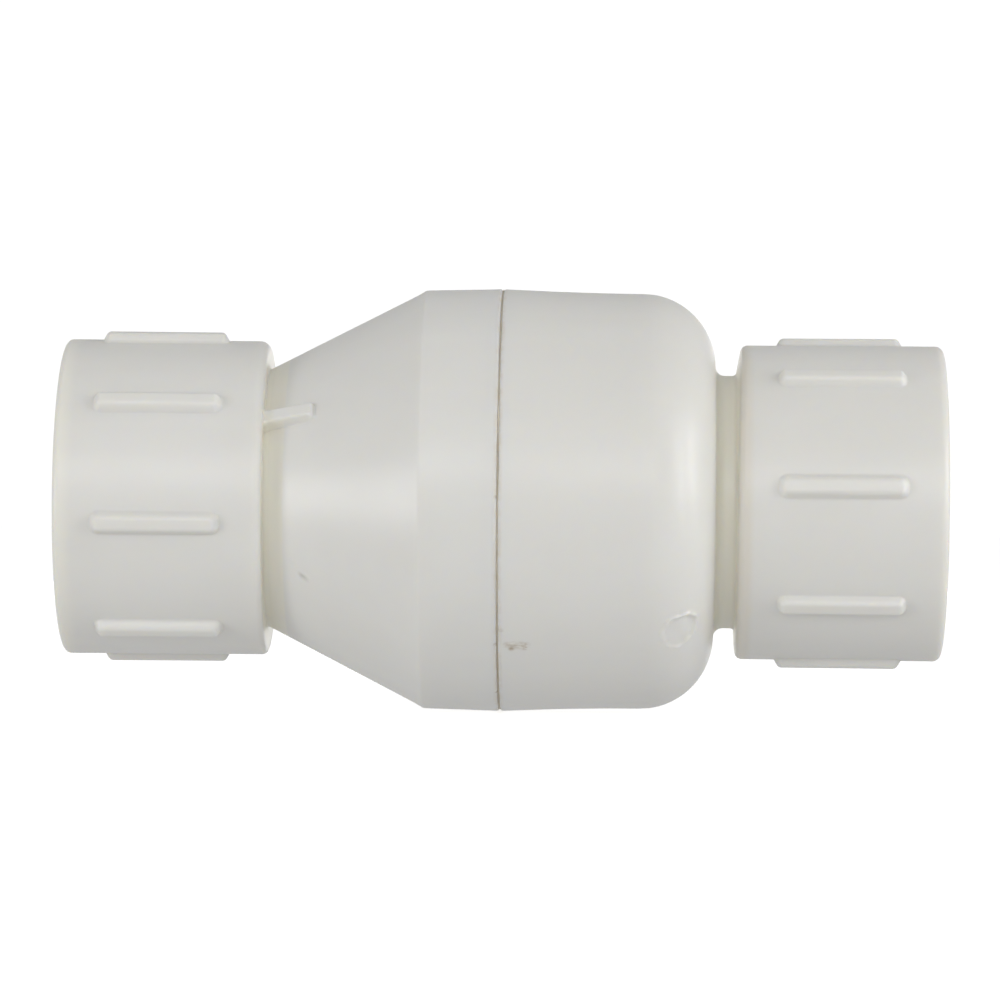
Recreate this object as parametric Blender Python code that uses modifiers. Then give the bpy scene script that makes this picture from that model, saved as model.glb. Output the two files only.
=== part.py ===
"""In-line spring check valve with a 1-1/2 in female taper pipe thread in each hub.

Metres, +Z up. The origin is on the flow axis at the middle of the valve's length. X is the flow
axis: the inlet hub is at +X and the outlet hub at -X, so water opens the valve by pushing the
poppet towards -X. Every profile is a list of (x, r) points, r being the distance from the axis.
A direction round the axis is an angle in degrees from +Y towards +Z.
"""

import math

import bmesh
import bpy
from mathutils import Matrix, Vector

SIDES = 40  # facets round a body-sized piece
SMALL_SIDES = 24  # facets round the stem, the screw and what fits on them
GAP = 0.0003  # room left between pieces that touch

# Body, outside
HALF_LENGTH = 0.0835
HUB_MOUTH_R = 0.03004
HUB_BACK_R = 0.02994
INLET_HUB_BACK = 0.04405  # at the neck
INLET_BACK_LEAN = 0.00085  # how far that back face leans away from the neck
OUTLET_HUB_BACK = -0.0447
NECK_R = 0.02410
NECK_FILLET = 0.0018
SHOULDER_X = 0.02626  # centre of the inlet half's round shoulder
SHOULDER_R = 0.02566
SHOULDER_RADIUS = 0.01395
BODY_R = 0.04028  # at the seam, the largest radius
CONE_SMALL_R = 0.02452
BAND_X = -0.0146  # where the cone meets the band
BAND_R = 0.03995
BODY_EASING = ((0.0184, 0.03969), (0.0070, 0.04002))  # (x, r) where the inlet half's side bends
SEAM_X = -0.00026
SEAM_HALF_GAP = 0.00045
SEAM_EDGE = 0.0008  # radius of each half's edge at the seam
BEAD_CLEARANCE = 0.00022  # between the cement bead and each half
BEAD_DEPTH = 0.0004  # how far the bead lies below the body's surface
INLET_MOUTH_EDGE = 0.0015  # radii of the hubs' outer edges
INLET_BACK_EDGE = 0.0014
OUTLET_MOUTH_EDGE = 0.0012
OUTLET_BACK_EDGE = 0.0021

# Body, inside
BORE_R = 0.0200
CHAMBER_R = 0.0346
CHAMBER_FACE = 0.0352  # inner face of the shoulder, which carries the seat lip
SEAT_X = 0.0338
LIP_OUTER_R = 0.0236  # where the lip leaves the chamber's face
LIP_FLAT = (0.0214, 0.0226)  # inner and outer radius of the lip's sealing face
LIP_LEAD = 0.0004  # how far the lip's inner slope reaches past the chamber's face, towards the seat
SPIGOT_R = 0.0372
SPIGOT_END = -0.0087
SPIGOT_CHAMFER = 0.0005
CONE_WALL = 0.00518  # measured across the axis, so the wall itself is thinner
SOCKET_R = 0.0375
SOCKET_END = -0.0122

# Taper pipe thread, 11.5 threads an inch, 1 in 16 on the diameter
PITCH = 0.0254 / 11.5
TAPER = 1 / 32  # loss of radius per length
THREAD_ROOT_R = 0.02403  # the groove's bottom, at the mouth
THREAD_CREST_R = 0.02226
THREAD_TURNS = 11
THREAD_START = -1.3 * PITCH  # depth of the first turn, outside the mouth
RELIEF_R = 0.0212  # plain hole behind the thread
RELIEF_END = 0.0290
RELIEF_TIP = 0.0022  # depth of the 45 degree end, which stops inside the bore
MOUTH_CHAMFER_R = 0.0251
MOUTH_CHAMFER_DEPTH = 0.0031
MOUTH_CHAMFER_OVERSHOOT = 0.0010  # how far the chamfer's cutter starts outside the face

# Ribs on the hubs
RIB_COUNT = 8
RIB_WIDTH = 0.0036
RIB_TOP_R = 0.03165
RIB_FOOT_R = 0.0285
RIB_BEVEL = 0.0007
INLET_RIBS = (0.05195, 0.0757, 39.2)  # from x, to x, angle of one of them
OUTLET_RIBS = (-0.0762, -0.0525, 9.3)

# Gusset on the cone
GUSSET_ANGLE = 146.5
GUSSET_WIDTH = 0.0030
GUSSET_LENGTH = 0.00925  # along X, from the hub's back face
GUSSET_ROOT = 0.0020  # how far it reaches into the hub
GUSSET_DEPTH = 0.0012  # how far it reaches into the cone's wall
GUSSET_HUB_HEIGHT = 0.0025  # above the cone's small end, inside the hub
GUSSET_HEIGHT = 0.0017  # above the cone, where its round end starts
GUSSET_END = 0.0012  # length of the round end

# Guide
RING_X = (-0.0119, -0.0090)
RING_INNER_R = 0.0330
RING_CHAMFER = 0.0004
BOSS_R = 0.0066
BOSS_BORE_R = 0.0052
BOSS_END = -0.0141
BOSS_CHAMFER = 0.0008
REAR_R = 0.0080  # the boss behind its flange, at its outlet end
REAR_SHOULDER_R = 0.0088
REAR_SHOULDER = 0.0025  # length of the slope from the flange down to the rear boss
FLANGE_X = (-0.0040, -0.0015)  # the flange that the spring stands on
FLANGE_R = 0.0115
SPOKE_COUNT = 4
SPOKE_WIDTH = 0.0024
SPOKE_INNER_R = 0.0070
SPOKE_OVERLAP = 0.0015  # how far a spoke reaches into the ring
SPOKE_INSET = 0.0002
SPOKE_FLARE = 0.0012  # how much wider than the ring a spoke is at the boss
BUSHING_R = 0.0050
BUSHING_BORE_R = 0.0041
BUSHING_FLANGE_R = 0.0065
BUSHING_FLANGE_THICK = 0.0012
BUSHING_LEAD = 0.0003

# Poppet, in its closed place
TRAVEL = 0.0120  # how far it lifts before the collar is GAP away from the boss
SEAT_GAP = 0.0002  # between the gasket and the lip
GASKET_R = 0.0260
GASKET_THICK = 0.0025
GASKET_EDGE = 0.0004
DISC_R = 0.0265
DISC_THICK = 0.0038
DISC_EDGE = 0.0006  # chamfer of the front edge
DISC_BACK_CHAMFER = (0.0012, 0.0030)  # along X and along r
SPRING_RING = (0.0102, 0.0104, 0.0120, 0.0128)  # the low ring's radii: foot, top, top, foot
SPRING_RING_HEIGHT = 0.0016
STEM_R = 0.0040
STEM_HOLE_R = 0.0043  # through the disc and the gasket
COLLAR_R = 0.0070
COLLAR_THICK = 0.0015
STEM_END = -0.0215
STEM_END_CHAMFER = 0.0008
STEM_NOSE_CHAMFER = 0.0003
STEM_SETBACK = 0.0004  # from the gasket's face back to the stem's nose
CLIP_X = -0.0170
CLIP_THICK = 0.0009
CLIP_R = 0.0070
CLIP_WAIST_R = 0.0052
CLIP_OPENING = 32  # half of the open side, in degrees
GROOVE_R = 0.0032
GROOVE_PLAY = 0.0001  # room on each side of the clip
RETAINER_R = 0.0175
RETAINER_THICK = 0.0023
RETAINER_SLOPE = (0.0015, 0.0022)  # the chamfer of its front edge, along X and along r
SCREW_R = 0.0022
SCREW_HOLE_R = 0.0025
SCREW_LENGTH = 0.0150
SCREW_TIP = 0.0006
HOLE_SPARE = 0.0012  # room past the screw's end, before the hole's cone
HOLE_CONE = 0.0010
HEAD_R = 0.0047
HEAD_HEIGHT = 0.0030
HEAD_DOME = ((0.0, 0.0024), (0.0006, 0.0038))  # depth below the head's top, and radius
HEAD_SIDE = 0.0016  # how far below its top the head's side starts
RECESS_DEPTH = 0.0017
RECESS_ACROSS = 0.0044
RECESS_WIDTH = 0.0009
LOCK_WASHER_R = 0.0046
LOCK_WASHER_THICK = 0.0011
LOCK_WASHER_SLIT = 0.0008

# Closing spring
WIRE_R = 0.00055
COIL_R = 0.0091
ACTIVE_TURNS = 6
END_PITCH = 0.0014  # the first and last turns are wound close
POINTS_PER_TURN = 12
SPRING_WASHER_THICK = 0.0007

PVC = (0.80, 0.79, 0.75)
ACETAL = (0.86, 0.86, 0.84)
EPDM = (0.02, 0.02, 0.02)
STEEL = (0.62, 0.62, 0.60)
CEMENT = (0.47, 0.39, 0.29)
STEEL_ROUGHNESS = 0.28


def clear_scene():
    for obj in list(bpy.data.objects):
        bpy.data.objects.remove(obj)


def new_collection(name):
    collection = bpy.data.collections.new(name)
    bpy.context.scene.collection.children.link(collection)
    return collection


def material(name, color, roughness, metallic=0.0):
    made = bpy.data.materials.new(name)
    made.use_nodes = True
    shader = made.node_tree.nodes["Principled BSDF"]
    shader.inputs["Base Color"].default_value = (*color, 1)
    shader.inputs["Roughness"].default_value = roughness
    shader.inputs["Metallic"].default_value = metallic
    return made


def steel(name):
    return material(name, STEEL, STEEL_ROUGHNESS, 1.0)


def mesh_object(name, mesh, collection):
    obj = bpy.data.objects.new(name, mesh)
    collection.objects.link(obj)
    return obj


def as_tool(obj):
    """Marks obj as something that only cuts or joins another shape."""
    obj.hide_render = True
    obj.display_type = "WIRE"
    return obj


def evaluated_mesh(obj):
    bpy.context.view_layer.update()
    graph = bpy.context.evaluated_depsgraph_get()
    return bpy.data.meshes.new_from_object(obj.evaluated_get(graph))


def settle(obj, surface):
    """Puts the modifiers' result in obj's mesh, shades it and gives it its material."""
    mesh = evaluated_mesh(obj)
    obj.modifiers.clear()
    obj.data = mesh
    mesh.shade_smooth()
    mesh.set_sharp_from_angle(angle=math.radians(40))
    mesh.materials.clear()
    mesh.materials.append(surface)
    return obj


def turned(name, profile, collection, sides=SIDES):
    """A shape turned about X. The profile runs down its outer side from +X to -X, and back inside."""
    points = [(x, r, 0) for x, r in profile]
    edges = [(i, i + 1) for i in range(len(points) - 1)]
    if profile[0][1] > 0:
        edges.append((len(points) - 1, 0))
    mesh = bpy.data.meshes.new(name)
    mesh.from_pydata(points, edges, [])
    obj = mesh_object(name, mesh, collection)
    screw = obj.modifiers.new("turn", "SCREW")
    screw.axis = "X"
    screw.steps = sides
    screw.render_steps = sides
    screw.use_merge_vertices = True
    screw.merge_threshold = 0.00001
    screw.use_smooth_shade = True
    return obj


def arc(x, r, radius, start, end, parts):
    """Points on a circle round (x, r), from one angle to another, in degrees from +X towards +r."""
    angles = [math.radians(start + (end - start) * i / parts) for i in range(parts + 1)]
    return [(x + radius * math.cos(a), r + radius * math.sin(a)) for a in angles]


def ring_profile(x0, x1, inner, outer, chamfer=0.0):
    """A plain ring from x0 to x1, with its two outer edges chamfered."""
    if not chamfer:
        return [(x1, outer), (x0, outer), (x0, inner), (x1, inner)]
    return [
        (x1, outer - chamfer),
        (x1 - chamfer, outer),
        (x0 + chamfer, outer),
        (x0, outer - chamfer),
        (x0, inner),
        (x1, inner),
    ]


def outline_solid(name, points, thickness, collection):
    """A flat outline in the XY plane, extruded evenly to both sides of it, as a closed mesh."""
    curve = bpy.data.curves.new(name, "CURVE")
    curve.dimensions = "2D"
    curve.fill_mode = "BOTH"
    curve.extrude = thickness / 2
    spline = curve.splines.new("POLY")
    spline.points.add(len(points) - 1)
    for point, (x, y) in zip(spline.points, points):
        point.co = (x, y, 0, 1)
    spline.use_cyclic_u = True
    holder = mesh_object(name + "_outline", curve, collection)
    mesh = evaluated_mesh(holder)
    bpy.data.objects.remove(holder)
    shape = bmesh.new()
    shape.from_mesh(mesh)
    bmesh.ops.remove_doubles(shape, verts=shape.verts, dist=0.000001)
    bmesh.ops.recalc_face_normals(shape, faces=shape.faces)
    shape.to_mesh(mesh)
    shape.free()
    return mesh_object(name, mesh, collection)


def copies_round_axis(name, obj, angles, collection):
    """One mesh that holds obj turned about X to each angle, in degrees. It replaces obj."""
    source = evaluated_mesh(obj)
    bpy.data.objects.remove(obj)
    shape = bmesh.new()
    for angle in angles:
        copy = source.copy()
        copy.transform(Matrix.Rotation(math.radians(angle), 4, "X"))
        shape.from_mesh(copy)
    mesh = bpy.data.meshes.new(name)
    shape.to_mesh(mesh)
    shape.free()
    return as_tool(mesh_object(name, mesh, collection))


def combine(target, tool, operation):
    modifier = target.modifiers.new(tool.name, "BOOLEAN")
    modifier.operation = operation
    modifier.solver = "EXACT"
    modifier.object = tool


def box_tool(name, centre, size, collection):
    shape = bmesh.new()
    placing = Matrix.Translation(centre) @ Matrix.Diagonal((*size, 1))
    bmesh.ops.create_cube(shape, size=1, matrix=placing)
    mesh = bpy.data.meshes.new(name)
    shape.to_mesh(mesh)
    shape.free()
    return as_tool(mesh_object(name, mesh, collection))


def thread_plug(name, mouth_x, inward, cutters):
    """A plug with the shape of the hole: taper thread, plain relief and a 45 degree end.

    The thread is two helices, the deepest line of the groove and the top of the ridge between
    grooves. inward is +1 where depth grows towards +X and -1 where it grows towards -X. The angle
    runs with it, which makes the thread right-handed at both ends.
    """
    shape = bmesh.new()
    columns = THREAD_TURNS * SIDES
    last_turn = columns - SIDES

    def vertex(depth, radius, column):
        angle = inward * 2 * math.pi * column / SIDES
        return shape.verts.new(
            (mouth_x + inward * depth, radius * math.cos(angle), radius * math.sin(angle))
        )

    def ring(depth, radius):
        return [vertex(depth, radius, column) for column in range(SIDES)]

    def groove_radius(depth, column):
        full = THREAD_ROOT_R - TAPER * depth
        ridge = THREAD_CREST_R - TAPER * depth
        left = min(1.0, (columns - column) / SIDES)
        return ridge + (full - ridge) * left

    groove = []
    for column in range(columns + 1):
        depth = THREAD_START + PITCH * column / SIDES
        groove.append(vertex(depth, groove_radius(depth, column), column))
    ridge = []
    for column in range(last_turn + 1):
        depth = THREAD_START + PITCH * (column / SIDES + 0.5)
        ridge.append(vertex(depth, THREAD_CREST_R - TAPER * depth, column))

    outer = ring(THREAD_START - PITCH, THREAD_CREST_R)
    thread_end = THREAD_START + PITCH * (THREAD_TURNS + 0.5)
    relief = ring(thread_end, RELIEF_R)
    shoulder = ring(RELIEF_END, RELIEF_R)
    tip = ring(RELIEF_END + RELIEF_TIP, RELIEF_R - RELIEF_TIP)

    for i in range(SIDES - 1):
        shape.faces.new((outer[i], outer[i + 1], groove[i + 1], groove[i]))
    first_end = (outer[-1], outer[0], groove[0], ridge[0], groove[SIDES])
    for near, far in zip(first_end, first_end[1:]):
        shape.faces.new((groove[SIDES - 1], near, far))
    for i in range(last_turn):
        shape.faces.new((groove[i], groove[i + 1], ridge[i + 1], ridge[i]))
        shape.faces.new((ridge[i], ridge[i + 1], groove[i + 1 + SIDES], groove[i + SIDES]))
    for i in range(last_turn + 1, columns):
        near = i % SIDES
        far = (i + 1) % SIDES
        shape.faces.new((groove[i], groove[i + 1], relief[far], relief[near]))
    last_end = (relief[1], relief[0], groove[columns], ridge[last_turn], groove[last_turn])
    for near, far in zip(last_end, last_end[1:]):
        shape.faces.new((groove[last_turn + 1], near, far))
    for upper, lower in ((relief, shoulder), (shoulder, tip)):
        for i in range(SIDES):
            j = (i + 1) % SIDES
            shape.faces.new((upper[i], upper[j], lower[j], lower[i]))
    shape.faces.new(outer)
    shape.faces.new(tip)
    bmesh.ops.triangulate(shape, faces=shape.faces)
    bmesh.ops.recalc_face_normals(shape, faces=shape.faces)
    mesh = bpy.data.meshes.new(name)
    shape.to_mesh(mesh)
    shape.free()
    return as_tool(mesh_object(name, mesh, cutters))


def mouth_cone(name, mouth_x, inward, cutters):
    """The 45 degree chamfer at a thread's mouth, as a solid cone that starts outside the face."""
    out = MOUTH_CHAMFER_OVERSHOOT
    wide = (mouth_x - inward * out, MOUTH_CHAMFER_R + out)
    narrow = (mouth_x + inward * MOUTH_CHAMFER_DEPTH, MOUTH_CHAMFER_R - MOUTH_CHAMFER_DEPTH)
    profile = [(wide[0], 0), wide, narrow, (narrow[0], 0)]
    if inward > 0:
        profile.reverse()
    return as_tool(turned(name, profile, cutters))


def rib_ring(name, start, end, angle, cutters):
    """Eight wrench ribs with round ends, standing on a hub."""
    half = RIB_WIDTH / 2
    points = arc(end - half, 0, half, -90, 90, 4) + arc(start + half, 0, half, 90, 270, 4)
    rib = outline_solid(name + "_one", points, RIB_TOP_R - RIB_FOOT_R, cutters)
    bevel = rib.modifiers.new("edges", "BEVEL")
    bevel.width = RIB_BEVEL
    bevel.segments = 1
    bevel.limit_method = "ANGLE"
    bevel.angle_limit = math.radians(60)
    rib.data.transform(Matrix.Translation((0, 0, (RIB_TOP_R + RIB_FOOT_R) / 2)))
    first = angle - 90  # the rib was made at +Z
    angles = [first + 360 * i / RIB_COUNT for i in range(RIB_COUNT)]
    return copies_round_axis(name, rib, angles, cutters)


def finish_hub(body, ribs, mouth_x, inward, cutters):
    """Adds the ribs to a turned half and cuts its thread."""
    name = body.name
    combine(body, rib_ring(name + "_ribs", *ribs, cutters), "UNION")
    combine(body, thread_plug(name + "_thread", mouth_x, inward, cutters), "DIFFERENCE")
    combine(body, mouth_cone(name + "_mouth", mouth_x, inward, cutters), "DIFFERENCE")


def make_inlet_body(parts, cutters, surface):
    """The half with the round shoulder: inlet hub, neck, chamber, seat lip and spigot."""
    mouth = INLET_MOUTH_EDGE
    back = INLET_BACK_EDGE
    face = SEAM_X + SEAM_HALF_GAP
    outside = [
        *arc(HALF_LENGTH - mouth, HUB_MOUTH_R - mouth, mouth, 0, 90, 2),
        *arc(INLET_HUB_BACK + INLET_BACK_LEAN + back, HUB_BACK_R - back, back, 90, 180, 2),
        (INLET_HUB_BACK, NECK_R),
        *arc(
            SHOULDER_X + SHOULDER_RADIUS + NECK_FILLET, NECK_R + NECK_FILLET, NECK_FILLET, 270, 180, 2
        ),
        *arc(SHOULDER_X, SHOULDER_R, SHOULDER_RADIUS, 8, 90, 5),
        *BODY_EASING,
        *arc(face + SEAM_EDGE, BODY_R - SEAM_EDGE, SEAM_EDGE, 90, 180, 2),
        (face, SPIGOT_R),
        (SPIGOT_END + SPIGOT_CHAMFER, SPIGOT_R),
        (SPIGOT_END, SPIGOT_R - SPIGOT_CHAMFER),
    ]
    inner_arc = CHAMBER_FACE - SHOULDER_X
    inside = [
        (SPIGOT_END, CHAMBER_R),
        *arc(SHOULDER_X, CHAMBER_R - inner_arc, inner_arc, 90, 0, 4),
        (CHAMBER_FACE, LIP_OUTER_R),
        (SEAT_X, LIP_FLAT[1]),
        (SEAT_X, LIP_FLAT[0]),
        (CHAMBER_FACE - LIP_LEAD, BORE_R),
        (HALF_LENGTH, BORE_R),
    ]
    body = turned("inlet_body", outside + inside, parts)
    finish_hub(body, INLET_RIBS, HALF_LENGTH, -1, cutters)
    return settle(body, surface)


def make_outlet_body(parts, cutters, surface):
    """The half with the cone: band with the socket, cone and outlet hub."""
    mouth = OUTLET_MOUTH_EDGE
    back = OUTLET_BACK_EDGE
    face = SEAM_X - SEAM_HALF_GAP
    slope = (BAND_R - CONE_SMALL_R) / (BAND_X - OUTLET_HUB_BACK)
    inner_cone_end = OUTLET_HUB_BACK + (CHAMBER_R + CONE_WALL - CONE_SMALL_R) / slope
    inner_cone_start = OUTLET_HUB_BACK + (BORE_R + CONE_WALL - CONE_SMALL_R) / slope
    outside = [
        *arc(face - SEAM_EDGE, BODY_R - SEAM_EDGE, SEAM_EDGE, 0, 90, 2),
        (BAND_X, BAND_R),
        (OUTLET_HUB_BACK, CONE_SMALL_R),
        *arc(OUTLET_HUB_BACK - back, HUB_BACK_R - back, back, 0, 90, 3),
        *arc(mouth - HALF_LENGTH, HUB_MOUTH_R - mouth, mouth, 90, 180, 2),
    ]
    inside = [
        (-HALF_LENGTH, BORE_R),
        (inner_cone_start, BORE_R),
        (inner_cone_end, CHAMBER_R),
        (SOCKET_END, CHAMBER_R),
        (SOCKET_END, SOCKET_R),
        (face, SOCKET_R),
    ]
    body = turned("outlet_body", outside + inside, parts)
    combine(body, gusset(slope, cutters), "UNION")
    finish_hub(body, OUTLET_RIBS, -HALF_LENGTH, 1, cutters)
    return settle(body, surface)


def gusset(slope, cutters):
    """The small web between the outlet hub's back face and the cone."""

    def above_cone(x, height):
        return (x, CONE_SMALL_R + slope * (x - OUTLET_HUB_BACK) + height)

    root = OUTLET_HUB_BACK - GUSSET_ROOT
    far = OUTLET_HUB_BACK + GUSSET_LENGTH
    points = [
        (root, CONE_SMALL_R + GUSSET_HUB_HEIGHT),
        (root, CONE_SMALL_R - GUSSET_DEPTH),
        above_cone(far - GUSSET_END, -GUSSET_DEPTH),
        above_cone(far, 0.1 * GUSSET_HEIGHT),
        above_cone(far - 0.3 * GUSSET_END, 0.7 * GUSSET_HEIGHT),
        above_cone(far - GUSSET_END, GUSSET_HEIGHT),
    ]
    web = outline_solid("gusset_one", points, GUSSET_WIDTH, cutters)
    return copies_round_axis("gusset", web, [GUSSET_ANGLE], cutters)


def make_cement_bead(parts, surface):
    """The ring of cement that fills the seam, a little below the body's surface."""
    half = SEAM_HALF_GAP - BEAD_CLEARANCE
    profile = ring_profile(SEAM_X - half, SEAM_X + half, SOCKET_R + GAP, BODY_R - BEAD_DEPTH)
    return settle(turned("cement_bead", profile, parts), surface)


def make_stem_guide(parts, cutters, surface, boss_top):
    """A ring that the body halves clamp, four spokes, and the boss that the stem slides in."""
    boss_profile = [
        (boss_top, BOSS_R - BOSS_CHAMFER),
        (boss_top - BOSS_CHAMFER, BOSS_R),
        (FLANGE_X[1], BOSS_R),
        (FLANGE_X[1], FLANGE_R),
        (FLANGE_X[0], FLANGE_R),
        (FLANGE_X[0] - REAR_SHOULDER, REAR_SHOULDER_R),
        (BOSS_END + BOSS_CHAMFER, REAR_R),
        (BOSS_END, REAR_R - BOSS_CHAMFER),
        (BOSS_END, BOSS_BORE_R),
        (boss_top, BOSS_BORE_R),
    ]
    guide = turned("stem_guide", boss_profile, parts, SMALL_SIDES)
    ring = ring_profile(RING_X[0], RING_X[1], RING_INNER_R, SPIGOT_R, RING_CHAMFER)
    combine(guide, as_tool(turned("guide_ring", ring, cutters)), "UNION")
    spoke_outer_r = RING_INNER_R + SPOKE_OVERLAP
    spoke_outline = [
        (RING_X[0] + SPOKE_INSET, spoke_outer_r),
        (RING_X[0] - SPOKE_FLARE, SPOKE_INNER_R),
        (FLANGE_X[1] - SPOKE_FLARE, SPOKE_INNER_R),
        (FLANGE_X[0] - SPOKE_INSET, FLANGE_R - SPOKE_FLARE),
        (RING_X[1] - SPOKE_INSET, spoke_outer_r),
    ]
    spoke = outline_solid("spoke_one", spoke_outline, SPOKE_WIDTH, cutters)
    angles = [45 + 360 * i / SPOKE_COUNT for i in range(SPOKE_COUNT)]
    combine(guide, copies_round_axis("spokes", spoke, angles, cutters), "UNION")
    return settle(guide, surface)


def make_guide_bushing(parts, surface, boss_top):
    """The plain bearing in the boss, with a flange against the boss's outlet end."""
    near = boss_top - GAP
    flange_front = BOSS_END - GAP
    flange_back = flange_front - BUSHING_FLANGE_THICK
    profile = [
        (near, BUSHING_R - BUSHING_LEAD),
        (near - BUSHING_LEAD, BUSHING_R),
        (flange_front, BUSHING_R),
        (flange_front, BUSHING_FLANGE_R),
        (flange_back, BUSHING_FLANGE_R),
        (flange_back, BUSHING_BORE_R),
        (near, BUSHING_BORE_R),
    ]
    return settle(turned("guide_bushing", profile, parts, SMALL_SIDES), surface)


def make_spring_washer(parts, surface):
    start = FLANGE_X[1] + GAP
    profile = ring_profile(start, start + SPRING_WASHER_THICK, BOSS_R + GAP, FLANGE_R - GAP)
    return settle(turned("spring_washer", profile, parts, SMALL_SIDES), surface)


def spring_point(turn, start, pitch):
    """A point on the wire's centreline, counted in turns from the washer."""
    opened = min(max(turn - 1, 0), ACTIVE_TURNS)
    closed = turn - opened
    x = start + closed * END_PITCH + opened * pitch
    angle = 2 * math.pi * turn
    return (x, COIL_R * math.cos(angle), COIL_R * math.sin(angle), 1)


def make_closing_spring(parts, surface, start, end):
    """A compression spring between the washer and the disc's back."""
    turns = ACTIVE_TURNS + 2
    pitch = (end - start - 2 * WIRE_R - 2 * END_PITCH) / ACTIVE_TURNS
    curve = bpy.data.curves.new("closing_spring", "CURVE")
    curve.dimensions = "3D"
    curve.bevel_depth = WIRE_R
    curve.bevel_resolution = 2
    curve.use_fill_caps = True
    spline = curve.splines.new("POLY")
    count = turns * POINTS_PER_TURN + 1
    spline.points.add(count - 1)
    for i, point in enumerate(spline.points):
        point.co = spring_point(i / POINTS_PER_TURN, start + WIRE_R, pitch)
    curve.materials.append(surface)
    return mesh_object("closing_spring", curve, parts)


def poppet_stack():
    """Where each piece of the poppet starts and ends along X, from the gasket backwards and forwards."""
    gasket_front = SEAT_X - SEAT_GAP
    gasket_back = gasket_front - GASKET_THICK
    disc_front = gasket_back - GAP
    disc_back = disc_front - DISC_THICK
    collar_front = disc_back - GAP
    retainer_back = gasket_front + GAP
    retainer_front = retainer_back + RETAINER_THICK
    washer_back = retainer_front + GAP
    return {
        "gasket": (gasket_back, gasket_front),
        "disc": (disc_back, disc_front),
        "collar": (collar_front - COLLAR_THICK, collar_front),
        "retainer": (retainer_back, retainer_front),
        "washer": (washer_back, washer_back + LOCK_WASHER_THICK),
        "head_back": washer_back + LOCK_WASHER_THICK + GAP,
    }


def make_poppet_disc(parts, surface, stack):
    """The disc, with a low ring on its back that keeps the spring's end in place."""
    back, front = stack["disc"]
    chamfer_x, chamfer_r = DISC_BACK_CHAMFER
    ring_back = back - SPRING_RING_HEIGHT
    profile = [
        (front, DISC_R - DISC_EDGE),
        (front - DISC_EDGE, DISC_R),
        (back + chamfer_x, DISC_R),
        (back, DISC_R - chamfer_r),
        (back, SPRING_RING[3]),
        (ring_back, SPRING_RING[2]),
        (ring_back, SPRING_RING[1]),
        (back, SPRING_RING[0]),
        (back, STEM_HOLE_R),
        (front, STEM_HOLE_R),
    ]
    return settle(turned("poppet_disc", profile, parts), surface)


def make_seat_gasket(parts, surface, stack):
    back, front = stack["gasket"]
    profile = ring_profile(back, front, STEM_HOLE_R, GASKET_R, GASKET_EDGE)
    return settle(turned("seat_gasket", profile, parts), surface)


def make_gasket_retainer(parts, surface, stack):
    back, front = stack["retainer"]
    slope_x, slope_r = RETAINER_SLOPE
    profile = [
        (front, RETAINER_R - slope_r),
        (front - slope_x, RETAINER_R),
        (back, RETAINER_R),
        (back, SCREW_HOLE_R + GAP),
        (front, SCREW_HOLE_R + GAP),
    ]
    return settle(turned("gasket_retainer", profile, parts), surface)


def make_poppet_stem(parts, surface, stack):
    """The stem, with the collar behind the disc, the clip's groove, and a blind hole for the screw."""
    collar_back, collar_front = stack["collar"]
    nose = stack["gasket"][1] - STEM_SETBACK
    hole_end = stack["head_back"] - SCREW_LENGTH - HOLE_SPARE
    groove_near = CLIP_X + GROOVE_PLAY
    groove_far = CLIP_X - CLIP_THICK - GROOVE_PLAY
    profile = [
        (hole_end - HOLE_CONE, 0),
        (hole_end, SCREW_HOLE_R),
        (nose, SCREW_HOLE_R),
        (nose, STEM_R - STEM_NOSE_CHAMFER),
        (nose - STEM_NOSE_CHAMFER, STEM_R),
        (collar_front, STEM_R),
        (collar_front, COLLAR_R),
        (collar_back, COLLAR_R),
        (collar_back, STEM_R),
        (groove_near, STEM_R),
        (groove_near, GROOVE_R),
        (groove_far, GROOVE_R),
        (groove_far, STEM_R),
        (STEM_END + STEM_END_CHAMFER, STEM_R),
        (STEM_END, STEM_R - STEM_END_CHAMFER),
        (STEM_END, 0),
    ]
    return settle(turned("poppet_stem", profile, parts, SMALL_SIDES), surface)


def make_lock_washer(parts, cutters, surface, stack):
    """A split ring under the screw's head."""
    back, front = stack["washer"]
    profile = ring_profile(back, front, SCREW_HOLE_R + GAP, LOCK_WASHER_R)
    washer = turned("lock_washer", profile, parts, SMALL_SIDES)
    reach = 2 * LOCK_WASHER_R
    middle = ((back + front) / 2, 0, reach / 2)
    slit = box_tool("washer_slit", middle, (reach, LOCK_WASHER_SLIT, reach), cutters)
    combine(washer, slit, "DIFFERENCE")
    return settle(washer, surface)


def make_retainer_screw(parts, cutters, surface, stack):
    """A pan head screw with a cross recess."""
    back = stack["head_back"]
    front = back + HEAD_HEIGHT
    tip = back - SCREW_LENGTH
    dome = [(front - drop, r) for drop, r in HEAD_DOME]
    profile = [
        (front, 0),
        *dome,
        (front - HEAD_SIDE, HEAD_R),
        (back, HEAD_R),
        (back, SCREW_R),
        (tip + SCREW_TIP, SCREW_R),
        (tip, SCREW_R - SCREW_TIP),
        (tip, 0),
    ]
    screw = turned("retainer_screw", profile, parts, SMALL_SIDES)
    depth = 2 * RECESS_DEPTH  # half of it lies outside the head
    for name, size in (
        ("recess_y", (depth, RECESS_ACROSS, RECESS_WIDTH)),
        ("recess_z", (depth, RECESS_WIDTH, RECESS_ACROSS)),
    ):
        combine(screw, box_tool(name, (front, 0, 0), size, cutters), "DIFFERENCE")
    return settle(screw, surface)


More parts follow.
